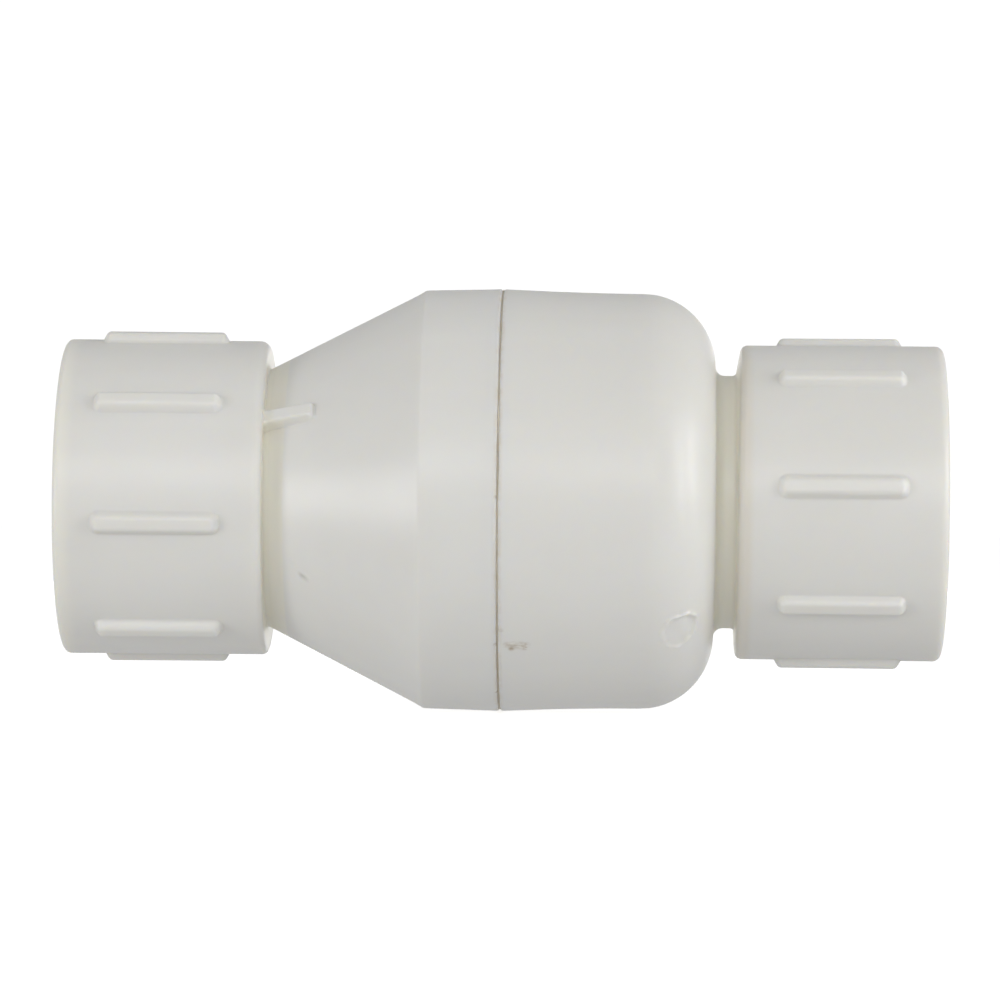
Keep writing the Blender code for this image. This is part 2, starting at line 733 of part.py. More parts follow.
def make_stem_clip(parts, surface):
    """An E-clip: an open ring with three lugs that reach into the stem's groove."""
    opening = CLIP_OPENING
    lug_r = GROOVE_R + 2 * GROOVE_PLAY
    points = arc(0, 0, CLIP_R, opening, 360 - opening, 18)
    for radius, start, end, parts_of_arc in (
        (lug_r, 360 - opening, 304, 2),
        (CLIP_WAIST_R, 298, 200, 5),
        (lug_r, 194, 166, 2),
        (CLIP_WAIST_R, 160, 62, 5),
        (lug_r, 56, opening, 2),
    ):
        points += arc(0, 0, radius, start, end, parts_of_arc)
    clip = outline_solid("stem_clip", points, CLIP_THICK, parts)
    clip.data.transform(Matrix.Rotation(math.radians(90), 4, "Y"))
    clip.data.transform(Matrix.Translation((CLIP_X - CLIP_THICK / 2, 0, 0)))
    return settle(clip, surface)


def main():
    clear_scene()
    parts = new_collection("check_valve")
    cutters = new_collection("cutters")
    stack = poppet_stack()
    boss_top = stack["collar"][0] - TRAVEL - GAP

    make_inlet_body(parts, cutters, material("inlet_pvc", PVC, 0.38))
    make_outlet_body(parts, cutters, material("outlet_pvc", PVC, 0.38))
    make_cement_bead(parts, material("dried_cement", CEMENT, 0.55))
    make_stem_guide(parts, cutters, material("guide_pvc", PVC, 0.42), boss_top)
    make_guide_bushing(parts, material("bushing_acetal", ACETAL, 0.35), boss_top)
    make_spring_washer(parts, steel("washer_steel"))
    spring_start = FLANGE_X[1] + 2 * GAP + SPRING_WASHER_THICK
    spring_end = stack["disc"][0] - GAP
    make_closing_spring(parts, steel("spring_steel"), spring_start, spring_end)

    moving = [
        make_poppet_disc(parts, material("disc_pvc", PVC, 0.42), stack),
        make_seat_gasket(parts, material("gasket_epdm", EPDM, 0.75), stack),
        make_gasket_retainer(parts, material("retainer_pvc", PVC, 0.42), stack),
        make_poppet_stem(parts, steel("stem_steel"), stack),
        make_lock_washer(parts, cutters, steel("lock_washer_steel"), stack),
        make_retainer_screw(parts, cutters, steel("screw_steel"), stack),
        make_stem_clip(parts, steel("clip_steel")),
    ]
    slide = bpy.data.objects.new("poppet_slide", None)
    slide.location = Vector((SEAT_X, 0, 0))
    parts.objects.link(slide)
    bpy.context.view_layer.update()
    for obj in moving:
        obj.parent = slide
        obj.matrix_parent_inverse = slide.matrix_world.inverted()


main()
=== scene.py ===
"""Looks of the in-line check valve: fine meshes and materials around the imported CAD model.

Shapes are worked out in millimetres and turned into metres when a mesh is made. X is the flow
axis, with the inlet hub at +X. A direction round the axis is an angle in degrees from +Y towards
+Z, so the front of the picture is 180 and the top is 90, and r is the distance from the axis.
"""

import math

import bmesh
import bpy
import numpy as np
from mathutils import Matrix, Vector


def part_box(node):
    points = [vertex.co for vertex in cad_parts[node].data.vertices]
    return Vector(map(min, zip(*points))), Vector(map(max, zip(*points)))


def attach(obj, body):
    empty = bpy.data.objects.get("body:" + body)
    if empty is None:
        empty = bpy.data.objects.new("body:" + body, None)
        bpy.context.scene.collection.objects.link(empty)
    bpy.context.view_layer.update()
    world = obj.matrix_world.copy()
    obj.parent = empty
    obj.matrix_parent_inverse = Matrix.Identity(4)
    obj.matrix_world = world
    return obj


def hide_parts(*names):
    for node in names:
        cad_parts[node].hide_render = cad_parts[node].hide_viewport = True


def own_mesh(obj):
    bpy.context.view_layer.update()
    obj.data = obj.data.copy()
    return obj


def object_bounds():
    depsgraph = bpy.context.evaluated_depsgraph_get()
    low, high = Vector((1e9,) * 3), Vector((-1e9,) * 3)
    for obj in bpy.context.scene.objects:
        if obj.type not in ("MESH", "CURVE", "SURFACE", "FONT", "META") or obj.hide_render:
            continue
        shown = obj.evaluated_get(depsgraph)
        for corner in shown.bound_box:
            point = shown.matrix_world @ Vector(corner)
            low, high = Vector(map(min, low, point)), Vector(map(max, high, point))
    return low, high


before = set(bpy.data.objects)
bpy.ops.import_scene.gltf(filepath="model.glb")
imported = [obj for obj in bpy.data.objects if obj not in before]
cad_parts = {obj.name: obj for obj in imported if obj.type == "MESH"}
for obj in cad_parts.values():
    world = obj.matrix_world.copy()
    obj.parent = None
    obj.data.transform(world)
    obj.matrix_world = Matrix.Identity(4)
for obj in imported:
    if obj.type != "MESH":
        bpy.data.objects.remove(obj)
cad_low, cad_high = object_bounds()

MM = 0.001
TOP = 90.0  # the angle of straight up

# Sizes that the CAD boxes don't give, in millimetres
MOUTH_X = 83.5
HUB_MOUTH_R = 30.04
HUB_BACK_R = 29.94
INLET_HUB_BACK = 44.05  # at the neck
INLET_BACK_LEAN = 0.85  # how far that back face leans away from the neck at the top
INLET_BACK_UPRIGHT = 0.60  # how much less it leans at the sides and below
OUTLET_HUB_BACK = -44.7
NECK_R = 24.10
NECK_FILLET = 1.8
SHOULDER = (26.26, 25.66, 13.95)  # centre x, centre r and radius of the round shoulder
CONE_SMALL_R = 24.52
BAND_X = -14.6
BAND_R = 39.95
BODY_R = 40.28
SEAM_X = -0.26
SEAM_HALF_GAP = 0.08
BORE_R = 20.0
CHAMBER_R = 34.6
CHAMBER_FACE = 35.2
SEAT_X = 33.8
SPIGOT_R = 37.2
SPIGOT_END = -8.7
SOCKET_R = 37.5
SOCKET_END = -12.2
CONE_WALL = 5.18
PITCH = 25.4 / 11.5
TAPER = 1 / 32
THREAD_ROOT_R = 24.03
THREAD_CREST_R = 22.26
THREAD_TURNS = 10
THREAD_START = -1.3 * PITCH
RELIEF_R = 21.2
RELIEF_END = 29.0
MOUTH_CHAMFER_R = 25.1
RIB_COUNT = 8
RIB_HALF_WIDTH = 1.95  # at the foot
RIB_CORNER = 1.45  # radius of a rib's corners, seen from above
RIB_FLANK = 1.20  # from the foot in to the flat top
RIB_FILLET = 0.25  # from the foot out to the hub
# from x, to x, angle of one of them, height
INLET_RIBS = (51.95, 75.7, 39.2, 1.55)
OUTLET_RIBS = (-76.2, -52.5, 9.3, 1.75)
LUG_ANGLE = 146.5
LUG_HALF_WIDTH = 1.5
LUG_END = -35.1
LUG_HEIGHT = 2.5  # at the hub
LUG_SLOPE = 0.331

CONE_SLOPE = (BAND_R - CONE_SMALL_R) / (BAND_X - OUTLET_HUB_BACK)


# -------- rings and skins

def even(count):
    """Angles evenly spaced round the axis."""
    return np.arange(count) * 360.0 / count


def dense_columns(first, patches):
    """Angles round the axis, close together at each of the eight ribs and in each patch.

    A patch is (from, to, step). Its ends count up from the first rib's zone, without wrapping.
    """
    half, fine, coarse = 7.5, 0.5, 3.75  # half of a rib's zone, and the steps in and between them
    step = 360.0 / RIB_COUNT
    edges = []
    for k in range(RIB_COUNT):
        centre = first + k * step
        edges.append((centre - half, centre + half, fine))
        edges.append((centre + half, centre + step - half, coarse))
    angles = []
    for low, high, size in edges:
        count = max(1, round((high - low) / size))
        angles += list(np.linspace(low, high, count, endpoint=False))
    angles = np.array(angles)
    for low, high, size in patches:
        kept = angles[(angles < low - size * 0.4) | (angles > high + size * 0.4)]
        extra = np.arange(low, high, size)
        angles = np.sort(np.concatenate([kept, extra]))
    return angles


def ring(x, r, angles):
    """One ring of points; x and r are numbers, or arrays as long as angles."""
    ones = np.ones(len(angles))
    return (np.asarray(x) * ones, np.asarray(r) * ones, np.asarray(angles))


def arc(x, r, radius, start, end, parts):
    """(x, r) points on a circle, from one angle to another, in degrees from +X towards +r."""
    turns = np.radians(np.linspace(start, end, parts + 1))
    return [(x + radius * math.cos(a), r + radius * math.sin(a)) for a in turns]


def line(start, end, step):
    """(x, r) points from start to end, both included, about step apart."""
    length = math.dist(start, end)
    count = max(1, round(length / step))
    return [
        (start[0] + (end[0] - start[0]) * i / count, start[1] + (end[1] - start[1]) * i / count)
        for i in range(count + 1)
    ]


def joined(*stretches):
    """The stretches' points in one list, without the points that repeat where they meet."""
    points = []
    for stretch in stretches:
        for point in stretch:
            if not points or math.dist(points[-1], point) > 0.004:
                points.append(point)
    return points


def corners(points, radius, parts=4):
    """The polyline with its inner corners rounded."""
    rounded = [points[0]]
    for before, corner, after in zip(points, points[1:], points[2:]):
        a = Vector(before) - Vector(corner)
        b = Vector(after) - Vector(corner)
        cut = min(radius, 0.45 * a.length, 0.45 * b.length)
        start = Vector(corner) + a.normalized() * cut
        end = Vector(corner) + b.normalized() * cut
        for i in range(parts + 1):
            t = i / parts
            point = start * (1 - t) ** 2 + Vector(corner) * 2 * t * (1 - t) + end * t * t
            rounded.append(tuple(point))
    rounded.append(points[-1])
    return rounded


def rings_of(points, angles):
    return [ring(x, r, angles) for x, r in points]


def bridge(first, second, first_angles, second_angles):
    """Faces between two rings of vertex numbers; they need not have the same count."""
    if len(first) == 1 and len(second) == 1:
        return []
    if len(first) == 1:
        n = len(second)
        return [(first[0], second[(i + 1) % n], second[i]) for i in range(n)]
    if len(second) == 1:
        n = len(first)
        return [(first[i], first[(i + 1) % n], second[0]) for i in range(n)]
    if len(first) == len(second) and np.allclose(first_angles, second_angles):
        n = len(first)
        return [
            (first[i], first[(i + 1) % n], second[(i + 1) % n], second[i]) for i in range(n)
        ]
    gap = (np.asarray(second_angles) - first_angles[0] + 180) % 360 - 180
    begin = int(np.argmin(np.abs(gap)))
    turn_one = [a - first_angles[0] for a in first_angles] + [360.0]
    turn_two = [gap[begin] + (a - second_angles[begin]) % 360 for a in
                list(second_angles[begin:]) + list(second_angles[:begin])] + [gap[begin] + 360]
    order = list(second[begin:]) + list(second[:begin])
    faces = []
    i = 0
    j = 0
    while i < len(first) or j < len(order):
        here = first[i % len(first)]
        there = order[j % len(order)]
        if j >= len(order) or (i < len(first) and turn_one[i + 1] <= turn_two[j + 1]):
            faces.append((here, first[(i + 1) % len(first)], there))
            i += 1
        else:
            faces.append((here, order[(j + 1) % len(order)], there))
            j += 1
    return faces


def skin(name, rings, closed):
    """A mesh object through the rings in turn, and back to the first if closed.

    A ring of r 0 is a pole.
    """
    vertices = []
    numbers = []
    for xs, rs, angles in rings:
        if np.max(rs) < 1e-6:
            numbers.append([len(vertices)])
            vertices.append((xs[0], 0.0, 0.0))
            continue
        turns = np.radians(angles)
        numbers.append(list(range(len(vertices), len(vertices) + len(angles))))
        vertices += list(zip(xs, rs * np.cos(turns), rs * np.sin(turns)))
    faces = []
    for i in range(len(rings) - 1):
        faces += bridge(numbers[i], numbers[i + 1], rings[i][2], rings[i + 1][2])
    if closed:
        faces += bridge(numbers[-1], numbers[0], rings[-1][2], rings[0][2])
    mesh = bpy.data.meshes.new(name)
    mesh.from_pydata([tuple(MM * c for c in v) for v in vertices], [], faces)
    return finished(name, mesh)


def finished(name, mesh):
    """An object of the mesh, with its faces pointing out and shaded smooth."""
    shape = bmesh.new()
    shape.from_mesh(mesh)
    bmesh.ops.recalc_face_normals(shape, faces=shape.faces)
    if shape.calc_volume(signed=True) < 0:
        bmesh.ops.reverse_faces(shape, faces=shape.faces)
    shape.to_mesh(mesh)
    shape.free()
    mesh.shade_smooth()
    return placed(name, mesh)


def placed(name, data):
    """A new object in the scene."""
    obj = bpy.data.objects.new(name, data)
    bpy.context.scene.collection.objects.link(obj)
    return obj


def smoothstep(t):
    t = np.clip(t, 0.0, 1.0)
    return t * t * (3 - 2 * t)


def around(angles, centre):
    """Signed angle from centre, from -180 to 180."""
    return (angles - centre + 180.0) % 360.0 - 180.0


def span(node):
    """Lowest x, highest x and radius of a CAD node, in millimetres."""
    low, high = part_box(node)
    return low.x / MM, high.x / MM, high.y / MM


# -------- the two body halves

def hub_radius(x):
    """Radius of either hub's side, which widens a little towards the mouth."""
    along = (abs(x) - abs(OUTLET_HUB_BACK)) / (MOUTH_X - abs(OUTLET_HUB_BACK))
    return HUB_BACK_R + (HUB_MOUTH_R - HUB_BACK_R) * along


def cone_radius(x):
    return CONE_SMALL_R + CONE_SLOPE * (x - OUTLET_HUB_BACK)


def rib_height(x, angles, ribs):
    """Height of a hub's ribs above its side: round ends, a flat top and soft feet."""
    start, end, first, height = ribs
    step = 360.0 / RIB_COUNT
    away = (angles - first + step / 2) % step - step / 2
    across = np.abs(np.radians(away) * HUB_MOUTH_R) - (RIB_HALF_WIDTH - RIB_CORNER)
    along = abs(x - (start + end) / 2) - ((end - start) / 2 - RIB_CORNER)
    outside = np.hypot(np.maximum(along, 0), np.maximum(across, 0))
    outside += np.minimum(np.maximum(along, across), 0) - RIB_CORNER
    inward = np.clip((RIB_FILLET - outside) / (RIB_FILLET + RIB_FLANK), 0, 1)
    eased = 1.12 * inward ** 2 / (inward + 0.12)
    return height * (1 - (1 - eased) ** 2.2)


def rib_rows(ribs):
    """x values along a hub, from the highest down: close together at the ribs' ends."""
    start, end = ribs[:2]
    fine, coarse = 0.21, 2.6
    reach_out, reach_in = 1.0, 2.6
    rows = list(np.arange(start - reach_out, start + reach_in, fine))
    rows += list(np.arange(start + reach_in, end - reach_in, coarse))
    rows += list(np.arange(end - reach_in, end + reach_out + fine, fine))
    return rows[::-1]


def ripple(x, angles):
    """The slight unevenness of a moulded surface, well under a tenth of a millimetre."""
    turns = np.radians(angles)
    return (
        0.020 * np.sin(2 * turns + 0.4)
        + 0.010 * np.sin(3 * turns + 0.11 * x + 1.1)
        + 0.006 * np.sin(7 * turns - 0.23 * x)
    )


def thread_radius(depth, angles, inward):
    """Radius of the taper thread at a depth below the mouth, with its chamfer and its run-out."""
    turn = (depth - THREAD_START) / PITCH - inward * angles / 360.0
    phase = turn % 1.0
    valley = 1 - np.abs(2 * phase - 1)  # 0 in the middle of a groove, 1 on the ridge
    flank = smoothstep((valley - 0.02) / 0.96) * 0.45
    flank = flank + np.clip((valley - 0.07) / 0.86, 0, 1) * 0.55
    fade = np.clip((THREAD_START + PITCH * THREAD_TURNS - depth) / PITCH + 0.5, 0, 1)
    root = THREAD_ROOT_R - TAPER * depth
    crest = THREAD_CREST_R - TAPER * depth
    thread = crest + (root - crest) * (1 - flank) * fade
    ended = smoothstep((depth - 20.5) / 2.0)
    thread = thread * (1 - ended) + RELIEF_R * ended
    return np.maximum(thread, MOUTH_CHAMFER_R - depth)


def hub_inside(mouth_x, inward, angles):
    """Rings from the bore out to the mouth's face."""
    rows = []
    tip = RELIEF_END + RELIEF_R - BORE_R
    for depth, r in joined(
        [(tip + 3.0, BORE_R), (tip + 0.3, BORE_R)],
        [(tip + 0.1568, BORE_R + 0.0732), (RELIEF_END + 0.15, RELIEF_R - 0.15),
         (RELIEF_END - 0.25, RELIEF_R)],
        line((RELIEF_END - 0.6, RELIEF_R), (23.6, RELIEF_R), 1.3),
    ):
        rows.append(ring(mouth_x + inward * depth, r, angles))
    per_pitch = 16
    for depth in np.arange(23.0, 0.02, -PITCH / per_pitch):
        rows.append(ring(mouth_x + inward * depth, thread_radius(depth, angles, inward), angles))
    rows.append(ring(mouth_x + inward * 0.08, MOUTH_CHAMFER_R - 0.02, angles))
    rows.append(ring(mouth_x, MOUTH_CHAMFER_R + 0.14, angles))
    rows.append(ring(mouth_x, MOUTH_CHAMFER_R + 0.5, angles))
    return rows


GATE = (33.7, 219.9)  # x and angle of the gate mark's middle
GATE_RADIUS = 3.85
GATE_RIM = 0.36  # the rim's height and its width
GATE_CUT = 0.20  # depth of the cut face


def gate_mark(x, r, angles):
    """Height of the trimmed gate: a torn rim round a slightly uneven cut face."""
    gate_x, gate_angle = GATE
    centre_x, _, radius = SHOULDER
    across = -np.radians(around(angles, gate_angle)) * r  # upwards, as seen from the front
    here = math.acos(np.clip((x - centre_x) / radius, -1, 1))
    along = (math.acos((gate_x - centre_x) / radius) - here) * radius  # towards the inlet
    bearing = np.arctan2(across, along)
    distance = np.hypot(across, along)
    edge = GATE_RADIUS * (1 + 0.05 * np.sin(3 * bearing + 0.5) + 0.03 * np.sin(7 * bearing))
    torn = 0.55 + 0.45 * np.cos(bearing - 0.9) + 0.18 * np.sin(11 * bearing + 1.0)
    rim = GATE_RIM * torn * np.exp(-(((distance - edge) / GATE_RIM) ** 2))
    inside = 1 - smoothstep((distance - edge + 0.7) / 0.5)
    waves = 0.045 * np.sin(1.7 * along + 0.8 * across) + 0.025 * np.sin(2.9 * across - along)
    cut = inside * (waves - GATE_CUT)
    nick = -0.22 * np.exp(-(((along + 0.2) / 0.35) ** 2) - (((across - 3.9) / 0.7) ** 2))
    return rim + cut + nick


SMEAR = (3.4, 222.6)  # x and angle of the middle of a smear of cement beside the seam
# How far along and below that middle the smear's lumps are, and their size
SMEAR_LUMPS = ((-1.2, 0.5, 0.45), (1.5, 0.35, 0.50), (0.4, 0.6, 0.3), (2.0, -0.3, 0.3))


def cement_smear(x, angles):
    """Height of a smear of dried cement, thicker along its lower edge and at its two ends."""
    along = x - SMEAR[0]
    below = np.radians(around(angles, SMEAR[1])) * BODY_R
    body = np.exp(-((along / 2.0) ** 4) - ((below / 0.75) ** 2)) * 0.030
    lumps = 0
    for place, drop, size in SMEAR_LUMPS:
        squared = ((along - place) / size) ** 2 + ((below - drop) / 0.3) ** 2
        lumps = lumps + 0.06 * np.exp(-squared)
    return body + lumps


def make_inlet_shell():
    """The half with the round shoulder."""
    _, mouth_x, _ = span("inlet_body")
    gate_and_smear = [(211.0, 228.0, 0.34)]
    outer = dense_columns(INLET_RIBS[2], gate_and_smear)
    inner = even(144)
    centre_x, centre_r, radius = SHOULDER
    face = SEAM_X + SEAM_HALF_GAP
    mouth_edge = 1.5
    back_edge = 1.4
    seam_edge = 0.4

    rings = []
    edge = arc(mouth_x - mouth_edge, HUB_MOUTH_R - mouth_edge, mouth_edge, 0, 90, 7)
    rings += rings_of([(mouth_x, 28.2)] + edge, outer)
    hub_rows = [mouth_x - mouth_edge - 0.3, mouth_x - 3.2]
    hub_rows += rib_rows(INLET_RIBS)
    face_x = INLET_HUB_BACK + INLET_BACK_LEAN
    hub_rows += [49.3, 47.6, face_x + back_edge + 0.3]
    for x in hub_rows:
        height = rib_height(x, outer, INLET_RIBS)
        rings.append(ring(x, hub_radius(x) + height + ripple(x, outer) * 0.5, outer))
    profile = joined(
        arc(face_x + back_edge, HUB_BACK_R - back_edge, back_edge, 90, 180, 6),
        corners([(face_x - 0.04, HUB_BACK_R - back_edge - 0.3), (INLET_HUB_BACK, NECK_R),
                 (INLET_HUB_BACK - 1.6, NECK_R)], 0.8, 6),
        arc(centre_x + radius + NECK_FILLET, NECK_R + NECK_FILLET, NECK_FILLET, 270, 180, 8),
    )
    upright = INLET_BACK_UPRIGHT * smoothstep((np.abs(around(outer, TOP)) - 20) / 60)
    for x, r in profile:
        share = smoothstep((r - NECK_R - 0.3) / 3.5) if x >= INLET_HUB_BACK else 0
        rings.append(ring(x - upright * share, r, outer))
    shoulder = arc(centre_x, centre_r, radius, 8, 40, 9)
    shoulder += arc(centre_x, centre_r, radius, 41.5, 82, 27)  # finer, across the gate
    for x, r in shoulder:
        lift = gate_mark(x, r, outer)
        a = math.atan2(r - centre_r, x - centre_x)
        wave = ripple(x, outer) * smoothstep((40.0 - x) / 6.0)
        rings.append(ring(x + lift * math.cos(a), r + lift * math.sin(a) + wave, outer))
    side = [(26.3, 39.62), (24.0, 39.63), (22.0, 39.64), (18.4, 39.69), (13.8, 39.80),
            (9.3, 39.92), (7.0, 40.02)]
    side += [(x, 40.30 - 0.04 * x) for x in np.arange(6.2, face + seam_edge + 0.1, -0.3)]
    for x, r in side:
        lift = cement_smear(x, outer) if x < 6.5 else 0
        rings.append(ring(x, r - 0.03 + lift + ripple(x, outer), outer))
    lip = arc(face + seam_edge, BODY_R - seam_edge - 0.03, seam_edge, 90, 180, 6)
    rings += rings_of(lip + [(face, 39.0)], outer)

    inner_arc = CHAMBER_FACE - centre_x
    inside = joined(
        [(face, 38.2), (face, SPIGOT_R + 0.3), (face - 0.3, SPIGOT_R)],
        line((-0.9, SPIGOT_R), (SPIGOT_END + 0.8, SPIGOT_R), 2.0),
        [(SPIGOT_END + 0.5, SPIGOT_R), (SPIGOT_END, SPIGOT_R - 0.5)],
        [(SPIGOT_END, SPIGOT_R - 0.9), (SPIGOT_END, CHAMBER_R + 0.3),
         (SPIGOT_END + 0.3, CHAMBER_R)],
        line((SPIGOT_END + 1.0, CHAMBER_R), (centre_x - 1.0, CHAMBER_R), 3.0),
        arc(centre_x, CHAMBER_R - inner_arc, inner_arc, 90, 0, 12),
        [(CHAMBER_FACE, 24.6)],
        corners([(CHAMBER_FACE, 23.9), (CHAMBER_FACE, 23.6), (SEAT_X, 22.6), (SEAT_X, 21.4),
                 (34.8, BORE_R), (36.5, BORE_R)], 0.3),
        line((38.0, BORE_R), (mouth_x - RELIEF_END - 5.0, BORE_R), 3.0),
    )
    rings += rings_of(inside, inner)
    rings += hub_inside(mouth_x, -1, inner)
    return skin("inlet_shell", rings, True)


def lug_top(x):
    """Radius of the lug's top line."""
    line_r = CONE_SMALL_R + LUG_HEIGHT + LUG_SLOPE * (x - OUTLET_HUB_BACK + 2.0)
    cone = cone_radius(x)
    past = np.clip((x - (LUG_END - 1.5)) / 1.5, 0, 1)
    share = math.sqrt(max(0.0, 1 - past ** 2.2))
    return cone + max(0.0, line_r - cone) * share


# x, angle and distance from the axis of two small knocks in the cone
SLASH = (-36.75, 211.15, 28.4)
DOT = (-38.8, 206.8, 27.5)


def cone_nicks(x, angles):
    """Depth of the knocks: a slanting one with a raised lip, and a dot."""
    along = x - SLASH[0]
    below = np.radians(around(angles, SLASH[1])) * SLASH[2]
    length = 0.82 * along + 0.57 * below
    width = -0.57 * along + 0.82 * below
    slash = 0.40 * np.exp(-((length / 1.0) ** 2) - ((width / 0.42) ** 2))
    lip = 0.05 * np.exp(-((length / 0.9) ** 2) - (((width - 0.75) / 0.35) ** 2))
    dot_below = np.radians(around(angles, DOT[1])) * DOT[2]
    dot = 0.20 * np.exp(-(((x - DOT[0]) / 0.4) ** 2) - ((dot_below / 0.6) ** 2))
    return slash - lip + dot


def make_outlet_shell():
    """The half with the cone, its lug against the hub, and the socket."""
    mouth_x, _, _ = span("outlet_body")
    lug_and_nicks = [(139.5, 153.0, 0.27), (204.5, 216.0, 0.4)]
    outer = dense_columns(OUTLET_RIBS[2], lug_and_nicks)
    inner = even(144)
    face = SEAM_X - SEAM_HALF_GAP
    seam_edge = 0.6
    mouth_edge = 1.2
    back_edge = 1.95
    tilt = math.degrees(math.atan(CONE_SLOPE))

    rings = []
    lip = arc(face - seam_edge, BODY_R - seam_edge, seam_edge, 0, 90, 7)
    rings += rings_of([(face, 38.9)] + lip, outer)
    for x in (-2.0, -4.0, -6.5, -9.0, -11.5, BAND_X + 1.2):
        r = BODY_R + (BAND_R - BODY_R) * (x - face) / (BAND_X - face)
        rings.append(ring(x, r + ripple(x, outer) * 0.6 - 0.02, outer))
    corner_radius = 1.6
    rings += rings_of(
        arc(BAND_X + 0.1, BAND_R - corner_radius - 0.05, corner_radius, 90, 90 + tilt, 5), outer
    )
    for x in (-16.6, -19.0, -21.5, -24.0, -26.5, -29.0, -31.0, -32.6, -33.8):
        rings.append(ring(x, cone_radius(x) + ripple(x, outer) * 0.6, outer))

    # The lug: rings slide from the cone and the hub's back face onto the lug's top line
    fillet = 0.6
    hub_x = OUTLET_HUB_BACK
    base = joined(
        line((-34.4, cone_radius(-34.4)), (hub_x + 0.9, cone_radius(hub_x + 0.9)), 0.34),
        corners([(hub_x + 0.75, cone_radius(hub_x + 0.75)), (hub_x, CONE_SMALL_R),
                 (hub_x, CONE_SMALL_R + 0.9)], fillet, 4)[1:],
        line((hub_x, CONE_SMALL_R + 1.2), (hub_x, HUB_BACK_R - back_edge), 0.45),
    )
    lug_r = 27.6  # where its width is measured
    across = np.radians(around(outer, LUG_ANGLE)) * lug_r
    share = 1 - smoothstep((np.abs(across) - LUG_HALF_WIDTH + 0.45) / 0.85)
    first_x = base[0][0]
    for i, (x, r) in enumerate(base):
        raised_x = first_x + (hub_x + 0.12 - first_x) * i / (len(base) - 1)
        raised_r = lug_top(raised_x)
        dent = cone_nicks(x, outer)
        wave = ripple(x, outer) * 0.6 * smoothstep((x - hub_x) / 4)
        ring_x = x + (raised_x - x) * share
        ring_r = r + (raised_r - r) * share + (wave - dent) * (1 - share)
        rings.append(ring(ring_x, ring_r, outer))

    round_r = back_edge - 0.8 * smoothstep(np.abs(around(outer, TOP)) / 60.0 - 0.3)
    for turn in np.radians(np.linspace(0, 90, 10))[1:]:
        ring_x = hub_x - round_r * (1 - math.cos(turn))
        rings.append(ring(ring_x, HUB_BACK_R - round_r * (1 - math.sin(turn)), outer))
    hub_rows = [hub_x - back_edge - 0.4, -48.6]
    hub_rows += rib_rows(OUTLET_RIBS)
    hub_rows += [-78.6, -80.6, mouth_x + mouth_edge + 0.3]
    for x in hub_rows:
        height = rib_height(x, outer, OUTLET_RIBS)
        rings.append(ring(x, hub_radius(x) + height + ripple(x, outer) * 0.5, outer))
    edge = arc(mouth_x + mouth_edge, HUB_MOUTH_R - mouth_edge, mouth_edge, 90, 180, 7)
    rings += rings_of(edge + [(mouth_x, 28.4)], outer)

    rings += hub_inside(mouth_x, 1, inner)[::-1]
    cone_end = hub_x + (CHAMBER_R + CONE_WALL - CONE_SMALL_R) / CONE_SLOPE
    cone_start = hub_x + (BORE_R + CONE_WALL - CONE_SMALL_R) / CONE_SLOPE
    inside = joined(
        line((mouth_x + RELIEF_END + 5.5, BORE_R), (cone_start - 1.6, BORE_R), 2.0),
        corners([(cone_start - 1.2, BORE_R), (cone_start, BORE_R), (cone_end, CHAMBER_R),
                 (SOCKET_END - 0.3, CHAMBER_R)], 1.1, 5),
        [(SOCKET_END, CHAMBER_R + 0.3), (SOCKET_END, SOCKET_R - 0.3),
         (SOCKET_END + 0.3, SOCKET_R)],
        line((SOCKET_END + 1.0, SOCKET_R), (face - 0.8, SOCKET_R), 2.4),
        [(face - 0.3, SOCKET_R), (face, SOCKET_R + 0.3), (face, 38.2)],
    )
    rings += rings_of(inside, inner)
    return skin("outlet_shell", rings, True)


CEMENT_TOP = 40.06
# Angle, size in degrees, and height of each blob
CEMENT_BLOBS = ((216.9, 1.0, 0.20), (228.2, 0.8, 0.14), (150.0, 0.7, 0.12),
                (12.0, 1.4, 0.16), (95.0, 0.9, 0.14), (311.0, 1.2, 0.15))


def make_cement_line():
    """The squeezed-out line of cement: uneven along its run, with a few blobs."""
    angles = even(480)
    turns = np.radians(angles)
    uneven = (
        0.05 * np.sin(9 * turns + 0.6)
        + 0.04 * np.sin(23 * turns + 2.0)
        + 0.03 * np.sin(61 * turns)
        + 0.02 * np.sin(97 * turns + 1.0)
    )
    for centre, size, height in CEMENT_BLOBS:
        uneven = uneven + height * np.exp(-((around(angles, centre) / size) ** 2))
    top = CEMENT_TOP + uneven
    half = SEAM_HALF_GAP - 0.01
    inner_r = SOCKET_R + 0.3
    rings = [
        ring(SEAM_X + half, inner_r, angles),
        ring(SEAM_X + half, 38.8, angles),
        ring(SEAM_X + half, top - 0.10, angles),
        ring(SEAM_X + half * 0.55, top - 0.01, angles),
        ring(SEAM_X, top + 0.02, angles),
        ring(SEAM_X - half * 0.55, top - 0.01, angles),
        ring(SEAM_X - half, top - 0.10, angles),
        ring(SEAM_X - half, 38.8, angles),
        ring(SEAM_X - half, inner_r, angles),
    ]
    return skin("cement_line", rings, True)


# -------- the guide and what sits in it

def lathe(name, points, sides=96):
    """A turned piece from its closed (x, r) outline, which may start and end on the axis."""
    on_axis = points[0][1] < 1e-6
    return skin(name, rings_of(points, even(sides)), not on_axis)


def turned_outline(points, radius, parts=4):
    """A closed outline with all its corners rounded."""
    middle = [tuple((Vector(points[-1]) + Vector(points[0])) / 2)]
    return joined(corners(middle + points + middle, radius, parts))[:-1]


